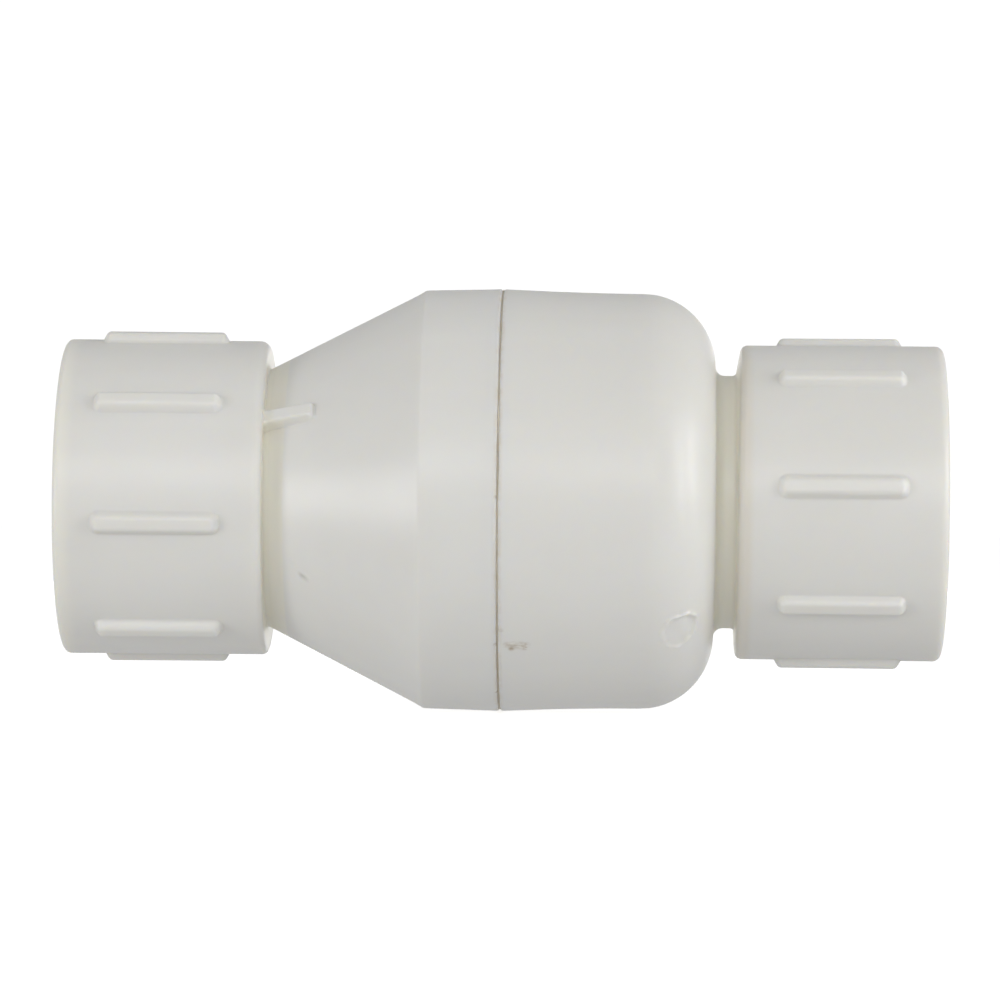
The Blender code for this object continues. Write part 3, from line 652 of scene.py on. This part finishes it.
def flat_piece(name, outline, thickness):
    """A flat outline in the XY plane, extruded evenly to both sides, as a closed mesh."""
    curve = bpy.data.curves.new(name, "CURVE")
    curve.dimensions = "2D"
    curve.fill_mode = "BOTH"
    curve.extrude = thickness / 2 * MM
    spline = curve.splines.new("POLY")
    spline.points.add(len(outline) - 1)
    for point, (x, y) in zip(spline.points, outline):
        point.co = (x * MM, y * MM, 0, 1)
    spline.use_cyclic_u = True
    holder = placed(name + "_outline", curve)
    mesh = applied(holder)
    bpy.data.objects.remove(holder)
    shape = bmesh.new()
    shape.from_mesh(mesh)
    bmesh.ops.remove_doubles(shape, verts=shape.verts, dist=0.000002)
    shape.to_mesh(mesh)
    shape.free()
    return finished(name, mesh)


def applied(obj):
    bpy.context.view_layer.update()
    graph = bpy.context.evaluated_depsgraph_get()
    return bpy.data.meshes.new_from_object(obj.evaluated_get(graph))


def swept(name, sections):
    """A closed tube through its sections, loops of points in millimetres, with flat ends."""
    n = len(sections[0])
    last = (len(sections) - 1) * n
    faces = []
    for i in range(0, last, n):
        for j in range(n):
            k = (j + 1) % n
            faces.append((i + j, i + k, i + n + k, i + n + j))
    faces.append(tuple(range(n)))
    faces.append(tuple(last + j for j in reversed(range(n))))
    mesh = bpy.data.meshes.new(name)
    mesh.from_pydata([tuple(MM * c for c in p) for loop in sections for p in loop], [], faces)
    return finished(name, mesh)


def settle(obj):
    """Puts the modifiers' result in the object's mesh."""
    mesh = applied(obj)
    obj.modifiers.clear()
    obj.data = mesh
    mesh.shade_smooth()
    return obj


def combine(target, tool, operation):
    modifier = target.modifiers.new("cut", "BOOLEAN")
    modifier.operation = operation
    modifier.solver = "EXACT"
    modifier.object = tool
    settle(target)
    bpy.data.objects.remove(tool)


def make_guide_frame():
    """Ring, spokes and boss as one moulding, with the soft fillets of a moulded piece."""
    back, front = -11.9, -9.0
    guide = lathe("guide_frame", [
        (12.9, 5.2), (12.9, 5.9), (12.3, 6.6), (-1.5, 6.6), (-1.5, 11.5), (-4.0, 11.5),
        (-6.5, 8.8), (-13.3, 8.0), (-14.1, 7.2), (-14.1, 5.2),
    ], 64)
    rim = lathe("rim", [(front, 33.0), (front, 36.8), (front - 0.4, 37.2), (back + 0.4, 37.2),
                        (back, 36.8), (back, 33.0)], 160)
    combine(guide, rim, "UNION")
    outline = [(-11.7, 34.5), (-13.1, 7.0), (-2.7, 7.0), (-4.2, 10.3), (-9.2, 34.5)]
    for k in range(4):
        spoke = flat_piece("spoke", outline, 2.4)
        spoke.data.transform(Matrix.Rotation(math.radians(45 + 90 * k), 4, "X"))
        combine(guide, spoke, "UNION")
    remesh = guide.modifiers.new("soft", "REMESH")
    remesh.mode = "VOXEL"
    remesh.voxel_size = 0.42 * MM
    smooth = guide.modifiers.new("fair", "SMOOTH")
    smooth.factor = 0.5
    smooth.iterations = 4
    return settle(guide)


def make_bushing_sleeve():
    x0, x1, flange_r = span("guide_bushing")
    return lathe("bushing_sleeve", turned_outline([
        (x1, 4.1), (x1, 4.75), (x1 - 0.3, 5.0), (-14.4, 5.0), (-14.4, flange_r),
        (x0, flange_r), (x0, 4.1),
    ], 0.18))


def make_seat_washer():
    x0, x1, outer_r = span("spring_washer")
    outline = [(x1, 7.0), (x1, outer_r), (x0, outer_r), (x0, 7.0)]
    return lathe("seat_washer", turned_outline(outline, 0.14))


SPRING_TURNS = 8
SPRING_ACTIVE = 6
WIRE_R = 0.55
COIL_R = 9.1


def make_spring_coil():
    """The closing spring, with closed ends that are ground flat."""
    start, end = -0.2, 26.7
    end_pitch = 1.25
    pitch = (end - start - 2 * WIRE_R - 2 * end_pitch) / SPRING_ACTIVE
    ground = 0.16  # taken off each end
    per_turn = 40
    sides = 14
    sections = []
    for i in range(SPRING_TURNS * per_turn + 1):
        turn = i / per_turn
        opened = min(max(turn - 1, 0), SPRING_ACTIVE)
        x = start + WIRE_R + (turn - opened) * end_pitch + opened * pitch
        a = 2 * math.pi * turn
        loop = []
        for j in range(sides):
            b = 2 * math.pi * j / sides
            r = COIL_R + WIRE_R * math.cos(b)
            wire_x = min(max(x + WIRE_R * math.sin(b), start + ground), end - ground)
            loop.append((wire_x, r * math.cos(a), r * math.sin(a)))
        sections.append(loop)
    return swept("spring_coil", sections)


# -------- the poppet

def make_poppet_plate():
    """The disc, with the low ring on its back that keeps the spring in place."""
    _, front, outer_r = span("poppet_disc")
    back = front - 3.8
    return lathe("poppet_plate", turned_outline([
        (front, 4.3), (front, outer_r - 0.6), (front - 0.6, outer_r), (back + 1.2, outer_r),
        (back, outer_r - 3.0), (back, 12.8), (back - 1.6, 12.0), (back - 1.6, 10.4), (back, 10.2),
        (back, 4.3),
    ], 0.35), 160)


def make_gasket_face():
    back, front, outer_r = span("seat_gasket")
    return lathe("gasket_face", turned_outline([
        (front, 4.3), (front, outer_r - 0.4), (front - 0.4, outer_r), (back + 0.4, outer_r),
        (back, outer_r - 0.4), (back, 4.3),
    ], 0.3), 160)


def make_retainer_plate():
    """The clamping disc, with a shallow turned step round the screw."""
    back, front, outer_r = span("gasket_retainer")
    return lathe("retainer_plate", turned_outline([
        (front - 0.35, 2.8), (front - 0.35, 5.6), (front, 6.1), (front, outer_r - 2.2),
        (front - 1.5, outer_r), (back, outer_r), (back, 2.8),
    ], 0.3), 144)


def make_stem_rod():
    """The stainless stem: collar, clip groove, and the tapped hole in its nose."""
    end, nose, collar_r = span("poppet_stem")
    return lathe("stem_rod", joined([(21.3 - 1.0, 0)], corners([
        (21.7, 2.0), (21.7, 2.5), (nose, 2.5), (nose, 3.7), (nose - 0.3, 4.0), (26.7, 4.0),
        (26.7, collar_r), (25.2, collar_r), (25.2, 4.0), (-16.9, 4.0), (-16.9, 3.2), (-18.0, 3.2),
        (-18.0, 4.0), (end + 0.8, 4.0), (end, 3.2), (end, 1.5),
    ], 0.16, 3), [(end, 0)]), 72)


def make_split_washer():
    """A helical spring lock washer: square wire, one turn, with its ends a little apart."""
    back, front, outer_r = span("lock_washer")
    inner_r = 2.85
    gap_angle = 14.0
    thickness = (front - back) * 0.86
    wire = corners([(0.5, 0), (1, 0), (1, 1), (0, 1), (0, 0), (0.5, 0)], 0.12, 3)[1:-1]
    sections = []
    for t in np.linspace(0, 1, 73):
        angle = math.radians(90 + gap_angle / 2 + (360 - gap_angle) * t)
        x = back + (front - back - thickness) * t
        loop = []
        for u, v in wire:
            r = inner_r + (outer_r - inner_r) * u
            loop.append((x + thickness * v, r * math.cos(angle), r * math.sin(angle)))
        sections.append(loop)
    return swept("split_washer", sections)


def make_cross_screw():
    """A pan head screw with a tapered cross recess and a rolled thread on its shank."""
    tip, head_top, head_r = span("retainer_screw")
    head_back = head_top - 3.0
    angles = even(72)
    rings = [ring(head_top, 0, angles)]
    head = corners([(head_top, 0.8), (head_top, 1.6), (head_top - 0.35, 3.2), (head_top - 1.0, 4.3),
                    (head_top - 1.8, head_r), (head_back, head_r), (head_back, 2.6)], 0.45, 5)
    rings += rings_of(joined(head, [(head_back, 2.2)]), angles)
    screw_pitch = 0.8
    crest, root = 2.2, 1.72
    for x in np.arange(head_back - 0.25, tip + 0.5, -screw_pitch / 10):
        phase = (x / screw_pitch - angles / 360) % 1.0
        ridge = np.clip((np.abs(2 * phase - 1) - 0.12) / 0.76, 0, 1)
        point = smoothstep((x - tip) / 1.4)
        rings.append(ring(x, (root + (crest - root) * ridge) * (0.72 + 0.28 * point), angles))
    rings.append(ring(tip, 1.1, angles))
    rings.append(ring(tip, 0, angles))
    screw = skin("cross_screw", rings, False)
    depth = 1.75
    for turned in (0, 90):
        wing = flat_piece("wing", [(0.6, 2.25), (0.6, -2.25), (-0.05, -2.2), (-depth, -0.95),
                                   (-depth, 0.95), (-0.05, 2.2)], 0.95)
        wing.data.transform(Matrix.Rotation(math.radians(turned + 12), 4, "X"))
        wing.data.transform(Matrix.Translation((head_top * MM, 0, 0)))
        combine(screw, wing, "DIFFERENCE")
    shape = bmesh.new()
    shape.from_mesh(screw.data)
    bmesh.ops.dissolve_degenerate(shape, edges=shape.edges, dist=0.005 * MM)
    bmesh.ops.triangulate(shape, faces=[f for f in shape.faces if len(f.verts) > 4])
    shape.to_mesh(screw.data)
    shape.free()
    screw.data.set_sharp_from_angle(angle=math.radians(40))
    return screw


def make_e_clip():
    """A stamped E-clip: three lugs in the stem's groove, and rounded edges."""
    back, front, _ = span("stem_clip")
    outer_r, waist_r, lug_r, opening = 7.0, 5.2, 3.4, 32
    outline = arc(0, 0, outer_r, opening, 360 - opening, 44)
    for radius, start, end, parts in ((lug_r, 360 - opening, 304, 4), (waist_r, 298, 200, 14),
                                      (lug_r, 194, 166, 5), (waist_r, 160, 62, 14),
                                      (lug_r, 56, opening, 4)):
        outline += arc(0, 0, radius, start, end, parts)
    clip = flat_piece("e_clip", outline, (front - back))
    bevel = clip.modifiers.new("edge", "BEVEL")
    bevel.width = 0.14 * MM
    bevel.segments = 2
    bevel.limit_method = "ANGLE"
    bevel.angle_limit = math.radians(50)
    settle(clip)
    clip.data.transform(Matrix.Rotation(math.radians(90), 4, "Y"))
    clip.data.transform(Matrix.Translation(((front + back) / 2 * MM, 0, 0)))
    clip.data.set_sharp_from_angle(angle=math.radians(50))
    return clip


# -------- materials

class Nodes:
    """Short calls for building one material's node tree."""

    def __init__(self, name):
        self.material = bpy.data.materials.new(name)
        self.material.use_nodes = True
        self.tree = self.material.node_tree
        self.shader = self.tree.nodes["Principled BSDF"]
        self.place = self.tree.nodes.new("ShaderNodeTexCoord").outputs["Object"]

    def add(self, kind, **values):
        node = self.tree.nodes.new(kind)
        for key, value in values.items():
            setattr(node, key, value)
        return node

    def link(self, source, target):
        self.tree.links.new(source, target)

    def feed(self, socket, value):
        if isinstance(value, bpy.types.NodeSocket):
            self.link(value, socket)
        else:
            socket.default_value = value

    def math(self, operation, a, b=0.0, c=0.0):
        node = self.add("ShaderNodeMath", operation=operation)
        for socket, value in zip(node.inputs, (a, b, c)):
            self.feed(socket, value)
        return node.outputs[0]

    def product(self, *factors):
        result = factors[0]
        for factor in factors[1:]:
            result = self.math("MULTIPLY", result, factor)
        return result

    def noise(self, scale, detail=3.0, roughness=0.5, stretch=(1, 1, 1), distortion=0.0):
        mapping = self.add("ShaderNodeMapping")
        self.link(self.place, mapping.inputs["Vector"])
        mapping.inputs["Scale"].default_value = stretch
        node = self.add("ShaderNodeTexNoise")
        self.link(mapping.outputs[0], node.inputs["Vector"])
        node.inputs["Scale"].default_value = scale
        node.inputs["Detail"].default_value = detail
        node.inputs["Roughness"].default_value = roughness
        node.inputs["Distortion"].default_value = distortion
        return node.outputs["Fac"]

    def ramp(self, value, low, high, out_low=0.0, out_high=1.0):
        node = self.add("ShaderNodeMapRange", interpolation_type="SMOOTHSTEP")
        for name, number in (("Value", value), ("From Min", low), ("From Max", high),
                             ("To Min", out_low), ("To Max", out_high)):
            self.feed(node.inputs[name], number)
        return node.outputs[0]

    def axes(self):
        split = self.add("ShaderNodeSeparateXYZ")
        self.link(self.place, split.inputs[0])
        return split.outputs

    def radius(self):
        """Distance from the flow axis, in metres."""
        _, y, z = self.axes()
        return self.math("SQRT", self.math("ADD", self.product(y, y), self.product(z, z)))

    def near(self, point, size):
        """1 at a point, falling to 0 at a distance of size, both in millimetres."""
        node = self.add("ShaderNodeVectorMath", operation="DISTANCE")
        self.link(self.place, node.inputs[0])
        node.inputs[1].default_value = tuple(MM * c for c in point)
        return self.ramp(node.outputs["Value"], 0.0, size * MM, 1.0, 0.0)

    def mix(self, share, a, b):
        node = self.add("ShaderNodeMix", data_type="RGBA")
        self.feed(node.inputs[0], share)
        self.feed(node.inputs[6], a if isinstance(a, bpy.types.NodeSocket) else (*a, 1))
        self.feed(node.inputs[7], b if isinstance(b, bpy.types.NodeSocket) else (*b, 1))
        return node.outputs[2]

    def bump(self, height, distance, strength=1.0, under=None):
        node = self.add("ShaderNodeBump")
        node.inputs["Distance"].default_value = distance * MM
        node.inputs["Strength"].default_value = strength
        self.link(height, node.inputs["Height"])
        if under is not None:
            self.link(under, node.inputs["Normal"])
        return node.outputs[0]

    def set(self, **values):
        for name, value in values.items():
            self.feed(self.shader.inputs[name.replace("_", " ")], value)


def on_surface(x, r, angle):
    a = math.radians(angle)
    return (x, r * math.cos(a), r * math.sin(a))


PVC_LIGHT = (0.800, 0.795, 0.765)
PVC_SHADE = (0.765, 0.758, 0.722)
PVC_GLOW_YELLOW = (0.915, 0.895, 0.800)  # painted bounce light, yellow, in the corners behind the hubs, and painted light on the mouths' edges
PVC_GLOW_TAN = (0.845, 0.825, 0.745)  # painted bounce light, tan, on the cone next to that corner
PVC_EDGE = (0.750, 0.715, 0.640)  # on the inlet hub's back edge
CEMENT_TAN = (0.40, 0.315, 0.215)
SEAM_TAN = (0.66, 0.56, 0.40)
# Painted shade in the knock on the cone
KNOCK_SHADE_GREY = (0.42, 0.41, 0.38)


def pvc_base(name):
    """Moulded white PVC: faint mottling, flow lines along the part, fine grain, a soft gloss."""
    n = Nodes(name)
    mottle = n.noise(22, 4, 0.55)
    flow = n.noise(60, 3, 0.6, (0.15, 1, 1), 0.4)
    flow_share = n.product(n.ramp(flow, 0.3, 0.7), 0.4)
    share = n.math("MULTIPLY_ADD", n.ramp(mottle, 0.3, 0.7), 0.6, flow_share)
    colour = n.mix(share, PVC_LIGHT, PVC_SHADE)
    grain = n.noise(2600, 2, 0.5)
    waves = n.noise(190, 3, 0.55)
    surface = n.bump(waves, 0.035, 0.35)
    surface = n.bump(grain, 0.004, 0.3, surface)
    n.link(surface, n.shader.inputs["Normal"])
    uneven = n.math("ADD", n.product(mottle, 0.5), n.product(grain, 0.5))
    n.set(Roughness=n.ramp(uneven, 0.3, 0.7, 0.29, 0.38))
    n.set(IOR=1.53, Subsurface_Weight=0.55, Subsurface_Scale=0.0030)
    n.shader.inputs["Subsurface Radius"].default_value = (1.0, 0.85, 0.55)
    return n, colour


def pvc_outside(name, tint_and_glow_bands, stains, knock_shade=()):
    """The body's PVC, with painted bounce light in yellow bands in its corners, painted light on
    its mouths' edges, a darker tint on the inlet hub's back edge, stains of cement at the seam, and
    painted shade in a knock on the cone.

    A band is (from x, to x, fade, below r, strength, tint), only outside the bore. A stain or a
    patch of painted shade is (point, size, strength). Lengths are in millimetres.
    """
    n, colour = pvc_base(name)
    x, _, _ = n.axes()
    radius = n.radius()
    outside = n.ramp(radius, 21.6 * MM, 22.6 * MM)
    # Bands of tint: the yellow and tan ones are painted bounce light in the corners and painted
    # light on the mouths' edges, the darker one a tint on the inlet hub's back edge
    for low, high, fade, below_r, strength, tint in tint_and_glow_bands:
        after = n.ramp(x, (low - fade) * MM, low * MM)
        before = n.ramp(x, high * MM, (high + fade) * MM, 1.0, 0.0)
        under = n.ramp(radius, below_r * MM, (below_r + 1.2) * MM, 1.0, 0.0)
        colour = n.mix(n.product(after, before, under, outside, strength), colour, tint)
    breakup = n.ramp(n.noise(900, 4, 0.7, (0.5, 1, 1)), 0.35, 0.62)
    for point, size, strength in stains:
        colour = n.mix(n.product(n.near(point, size), breakup, strength), colour, CEMENT_TAN)
    # Painted shade in the knock on the cone, a darker grey
    for point, size, strength in knock_shade:
        colour = n.mix(n.product(n.near(point, size), strength), colour, KNOCK_SHADE_GREY)
    from_seam = n.math("ABSOLUTE", n.math("SUBTRACT", x, SEAM_X * MM))
    edge = n.ramp(from_seam, 0.25 * MM, 1.1 * MM, 1.0, 0.0)
    patchy = n.ramp(n.noise(420, 3, 0.6), 0.35, 0.65, 0.25, 1.0)
    colour = n.mix(n.product(edge, patchy, 0.42), colour, SEAM_TAN)
    n.set(Base_Color=colour)
    return n.material


def inlet_pvc():
    # The first band is a darker tint on the hub's back edge; the yellow ones are painted bounce
    # light on the neck behind the hub and painted light on the mouth's edge
    bands = [(44.3, 45.9, 1.7, 40.0, 0.75, PVC_EDGE), (40.4, 44.9, 1.2, 26.5, 0.95, PVC_GLOW_YELLOW),
             (84.0, 90.0, 2.6, 40.0, 0.30, PVC_GLOW_YELLOW)]
    stains = [(on_surface(1.5, 40.2, 221.9), 1.1, 0.50), (on_surface(2.7, 40.2, 222.2), 1.4, 0.60),
              (on_surface(4.1, 40.1, 222.2), 1.4, 0.60), (on_surface(5.2, 40.1, 222.0), 1.0, 0.55),
              (on_surface(2.3, 40.2, 223.4), 0.8, 0.95), (on_surface(4.8, 40.1, 223.1), 0.9, 0.95),
              (on_surface(0.3, 40.2, 217.0), 0.9, 0.4)]
    return pvc_outside("inlet_pvc", bands, stains)


def outlet_pvc():
    # Painted bounce light, yellow then tan, on the cone in the corner behind the hub, and painted
    # light, yellow, on the mouth's edge
    bands = [(-45.2, -43.4, 1.6, 27.6, 0.85, PVC_GLOW_YELLOW), (-43.4, -40.9, 0.5, 27.6, 0.85, PVC_GLOW_TAN),
             (-90.0, -82.2, 2.6, 40.0, 0.35, PVC_GLOW_YELLOW)]
    stains = [(on_surface(-0.6, 40.1, 222.0), 0.8, 0.7), (on_surface(-0.5, 40.1, 179.2), 0.7, 0.9),
              (on_surface(-0.7, 40.1, 191.8), 0.5, 0.6), (on_surface(-0.5, 40.1, 244.0), 0.7, 0.8)]
    # Painted shade round the slanting knock on the cone
    knock_shade = [(on_surface(-37.3, 28.1, 210.6), 0.85, 0.22),
              (on_surface(-36.8, 28.3, 211.3), 0.95, 0.28),
              (on_surface(-36.1, 28.6, 211.9), 0.9, 0.20)]
    return pvc_outside("outlet_pvc", bands, stains, knock_shade)


def inner_pvc(name):
    n, colour = pvc_base(name)
    n.set(Base_Color=n.mix(0.35, colour, (0.70, 0.70, 0.67)))
    return n.material


def cement():
    """Dried solvent cement: brown in its depth, tan where it is thin."""
    n = Nodes("dried_cement")
    spread = n.ramp(n.noise(350, 5, 0.65), 0.3, 0.7)
    colour = n.mix(spread, (0.74, 0.66, 0.52), (0.90, 0.84, 0.72))
    patches = n.ramp(n.noise(45, 3, 0.6), 0.42, 0.62)
    colour = n.mix(n.product(patches, 0.55), colour, (0.50, 0.43, 0.32))
    n.link(n.bump(n.noise(1400, 4, 0.6), 0.08, 0.8), n.shader.inputs["Normal"])
    n.set(Base_Color=colour, Roughness=n.ramp(n.noise(600, 3), 0.3, 0.7, 0.38, 0.62), IOR=1.5)
    return n.material


def acetal():
    """White acetal, waxier and a little cooler than the PVC."""
    n = Nodes("white_acetal")
    colour = n.mix(n.ramp(n.noise(70, 3), 0.3, 0.7), (0.84, 0.85, 0.84), (0.80, 0.81, 0.80))
    n.link(n.bump(n.noise(1900, 2, 0.5, (4, 1, 1)), 0.006, 0.6), n.shader.inputs["Normal"])
    n.set(Base_Color=colour, Roughness=n.ramp(n.noise(800, 2), 0.3, 0.7, 0.26, 0.36), IOR=1.48,
          Subsurface_Weight=0.25, Subsurface_Scale=0.0012)
    return n.material


def rubber():
    """Black EPDM with a dusty bloom."""
    n = Nodes("epdm_rubber")
    bloom = n.ramp(n.noise(130, 4, 0.65), 0.45, 0.75)
    colour = n.mix(bloom, (0.018, 0.018, 0.019), (0.040, 0.040, 0.041))
    n.link(n.bump(n.noise(2400, 3, 0.6), 0.015, 0.7), n.shader.inputs["Normal"])
    n.set(Base_Color=colour, Roughness=n.ramp(n.noise(500, 3), 0.3, 0.7, 0.58, 0.78), IOR=1.5)
    return n.material


def steel(name, turned, tone=0.60, low=0.24, high=0.34):
    """Stainless steel. Turned pieces carry fine rings from the tool; the others are plain."""
    n = Nodes(name)
    if turned:
        marks = n.noise(3200, 2, 0.5, (1, 0.02, 0.02))
    else:
        marks = n.noise(900, 2, 0.5, (1, 0.3, 1))
    stain = n.ramp(n.noise(160, 4, 0.6), 0.35, 0.75)
    dull = (tone * 0.83, tone * 0.81, tone * 0.78)
    colour = n.mix(stain, (tone, tone * 0.985, tone * 0.955), dull)
    n.link(n.bump(marks, 0.003, 0.5 if turned else 0.25), n.shader.inputs["Normal"])
    n.set(Base_Color=colour, Roughness=n.ramp(marks, 0.3, 0.7, low, high), Metallic=1.0)
    return n.material


def plain_floor():
    n = Nodes("studio_floor")
    tone = n.mix(n.ramp(n.noise(3, 2), 0.3, 0.7), (0.93, 0.93, 0.93), (0.91, 0.91, 0.91))
    n.set(Base_Color=tone, Roughness=0.9, Specular_IOR_Level=0.0,
          Emission_Color=(1.0, 1.0, 1.0, 1), Emission_Strength=0.60)
    return n.material


# -------- assembly


def put(piece, body, node, surface):
    """Gives a finished piece its material, the body it rides on and the CAD node it stands for."""
    piece.data.materials.clear()
    piece.data.materials.append(surface)
    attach(piece, body)
    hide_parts(node)


def make_valve():
    body = "valve_body"
    put(make_inlet_shell(), body, "inlet_body", inlet_pvc())
    put(make_outlet_shell(), body, "outlet_body", outlet_pvc())
    put(make_cement_line(), body, "cement_bead", cement())
    put(make_guide_frame(), body, "stem_guide", inner_pvc("guide_pvc"))
    put(make_bushing_sleeve(), body, "guide_bushing", acetal())
    put(make_seat_washer(), body, "spring_washer", steel("washer_steel", False))
    body = "poppet"
    put(make_poppet_plate(), body, "poppet_disc", inner_pvc("disc_pvc"))
    put(make_gasket_face(), body, "seat_gasket", rubber())
    put(make_retainer_plate(), body, "gasket_retainer", inner_pvc("retainer_pvc"))
    put(make_stem_rod(), body, "poppet_stem", steel("stem_steel", True))
    put(make_split_washer(), body, "lock_washer", steel("split_washer_steel", False, 0.5))
    put(make_cross_screw(), body, "retainer_screw", steel("screw_steel", False, 0.62))
    put(make_e_clip(), body, "stem_clip", steel("clip_steel", False, 0.52))

    # The spring rides on the valve body and gets a mesh of its own
    spring = make_spring_coil()
    put(spring, "valve_body", "closing_spring", steel("spring_steel", False, 0.58))
    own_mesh(spring)


# -------- stage

# name, place and size in metres, and power in watts; each faces the valve's middle
SOFT_BOXES = (
    ("front_box", (0, -1.4, 0.44), (1.2, 0.5), 3.8),
    ("left_box", (-1.1, -0.75, 0.03), (0.40, 0.5), 3.4),
    ("right_box", (1.18, -0.63, 0.34), (0.26, 0.9), 4.1),
    ("end_box", (1.46, -0.14, 0.35), (0.30, 0.7), 4.2),
    ("back_box", (0, 1.5, 0), (1.4, 0.5), 2.4),
    ("top_box", (0, 0.1, 1.5), (2.0, 1.6), 0.3),
)
SKY_BELOW = 0.56
SKY_ABOVE = 0.43
SKY_SEEN = 1.05
FLOOR_HALF = 6.0
FLOOR_GAP = 0.0002


def make_lights():
    for name, place, size, power in SOFT_BOXES:
        data = bpy.data.lights.new(name, "AREA")
        data.shape = "RECTANGLE"
        data.size, data.size_y = size
        data.energy = power
        light = placed(name, data)
        light.location = place
        light.rotation_euler = (-Vector(place)).to_track_quat("-Z", "Y").to_euler()


def make_floor():
    """A wide pale floor. Only the camera sees it, so it can't light the valve's underside."""
    shape = bmesh.new()
    bmesh.ops.create_grid(shape, x_segments=24, y_segments=24, size=FLOOR_HALF)
    mesh = bpy.data.meshes.new("floor")
    shape.to_mesh(mesh)
    shape.free()
    floor = placed("floor", mesh)
    floor.location.z = cad_low.z - FLOOR_GAP
    floor.visible_diffuse = False
    floor.visible_glossy = False
    floor.visible_transmission = False
    floor.visible_shadow = False
    mesh.materials.append(plain_floor())


def make_sky():
    """Plain white to the camera; to the valve, a softer light, stronger from below."""
    world = bpy.data.worlds.new("soft_sky")
    world.use_nodes = True
    bpy.context.scene.world = world
    nodes = world.node_tree.nodes
    links = world.node_tree.links
    sky = nodes["Background"]
    sky.inputs["Color"].default_value = (1.0, 1.0, 1.0, 1)
    direction = nodes.new("ShaderNodeTexCoord")
    split = nodes.new("ShaderNodeSeparateXYZ")
    height = nodes.new("ShaderNodeMapRange")
    links.new(direction.outputs["Generated"], split.inputs[0])
    links.new(split.outputs["Z"], height.inputs["Value"])
    for name, value in (("From Min", -1.0), ("From Max", 1.0), ("To Min", SKY_BELOW),
                        ("To Max", SKY_ABOVE)):
        height.inputs[name].default_value = value
    links.new(height.outputs[0], sky.inputs["Strength"])
    seen = nodes.new("ShaderNodeBackground")
    seen.inputs["Color"].default_value = (1.0, 1.0, 1.0, 1)
    seen.inputs["Strength"].default_value = SKY_SEEN
    path = nodes.new("ShaderNodeLightPath")
    choose = nodes.new("ShaderNodeMixShader")
    output = nodes["World Output"]
    links.new(path.outputs["Is Camera Ray"], choose.inputs[0])
    links.new(sky.outputs[0], choose.inputs[1])
    links.new(seen.outputs[0], choose.inputs[2])
    links.new(choose.outputs[0], output.inputs[0])
    bpy.context.scene.view_settings.view_transform = "Standard"


CAMERA_TURN = 1.3  # degrees towards the inlet end
CAMERA_ROLL = 0.54  # the inlet end sits a little lower in the picture
CAMERA_DISTANCE = 1.030
CAMERA_LENS = 194.0
AIM = (-0.00068, 0, 0)


def make_camera():
    data = bpy.data.cameras.new("camera")
    data.lens = CAMERA_LENS
    data.sensor_width = 36.0
    data.clip_end = 50
    camera = placed("camera", data)
    turn = math.radians(CAMERA_TURN)
    aim = Vector(AIM)
    camera.location = aim + Vector((math.sin(turn), -math.cos(turn), 0)) * CAMERA_DISTANCE
    level = (aim - camera.location).to_track_quat("-Z", "Y").to_matrix().to_4x4()
    roll = Matrix.Rotation(math.radians(CAMERA_ROLL), 4, "Z")
    camera.rotation_euler = (level @ roll).to_euler()
    bpy.context.scene.camera = camera


make_camera()
make_valve()
make_floor()
make_lights()
make_sky()
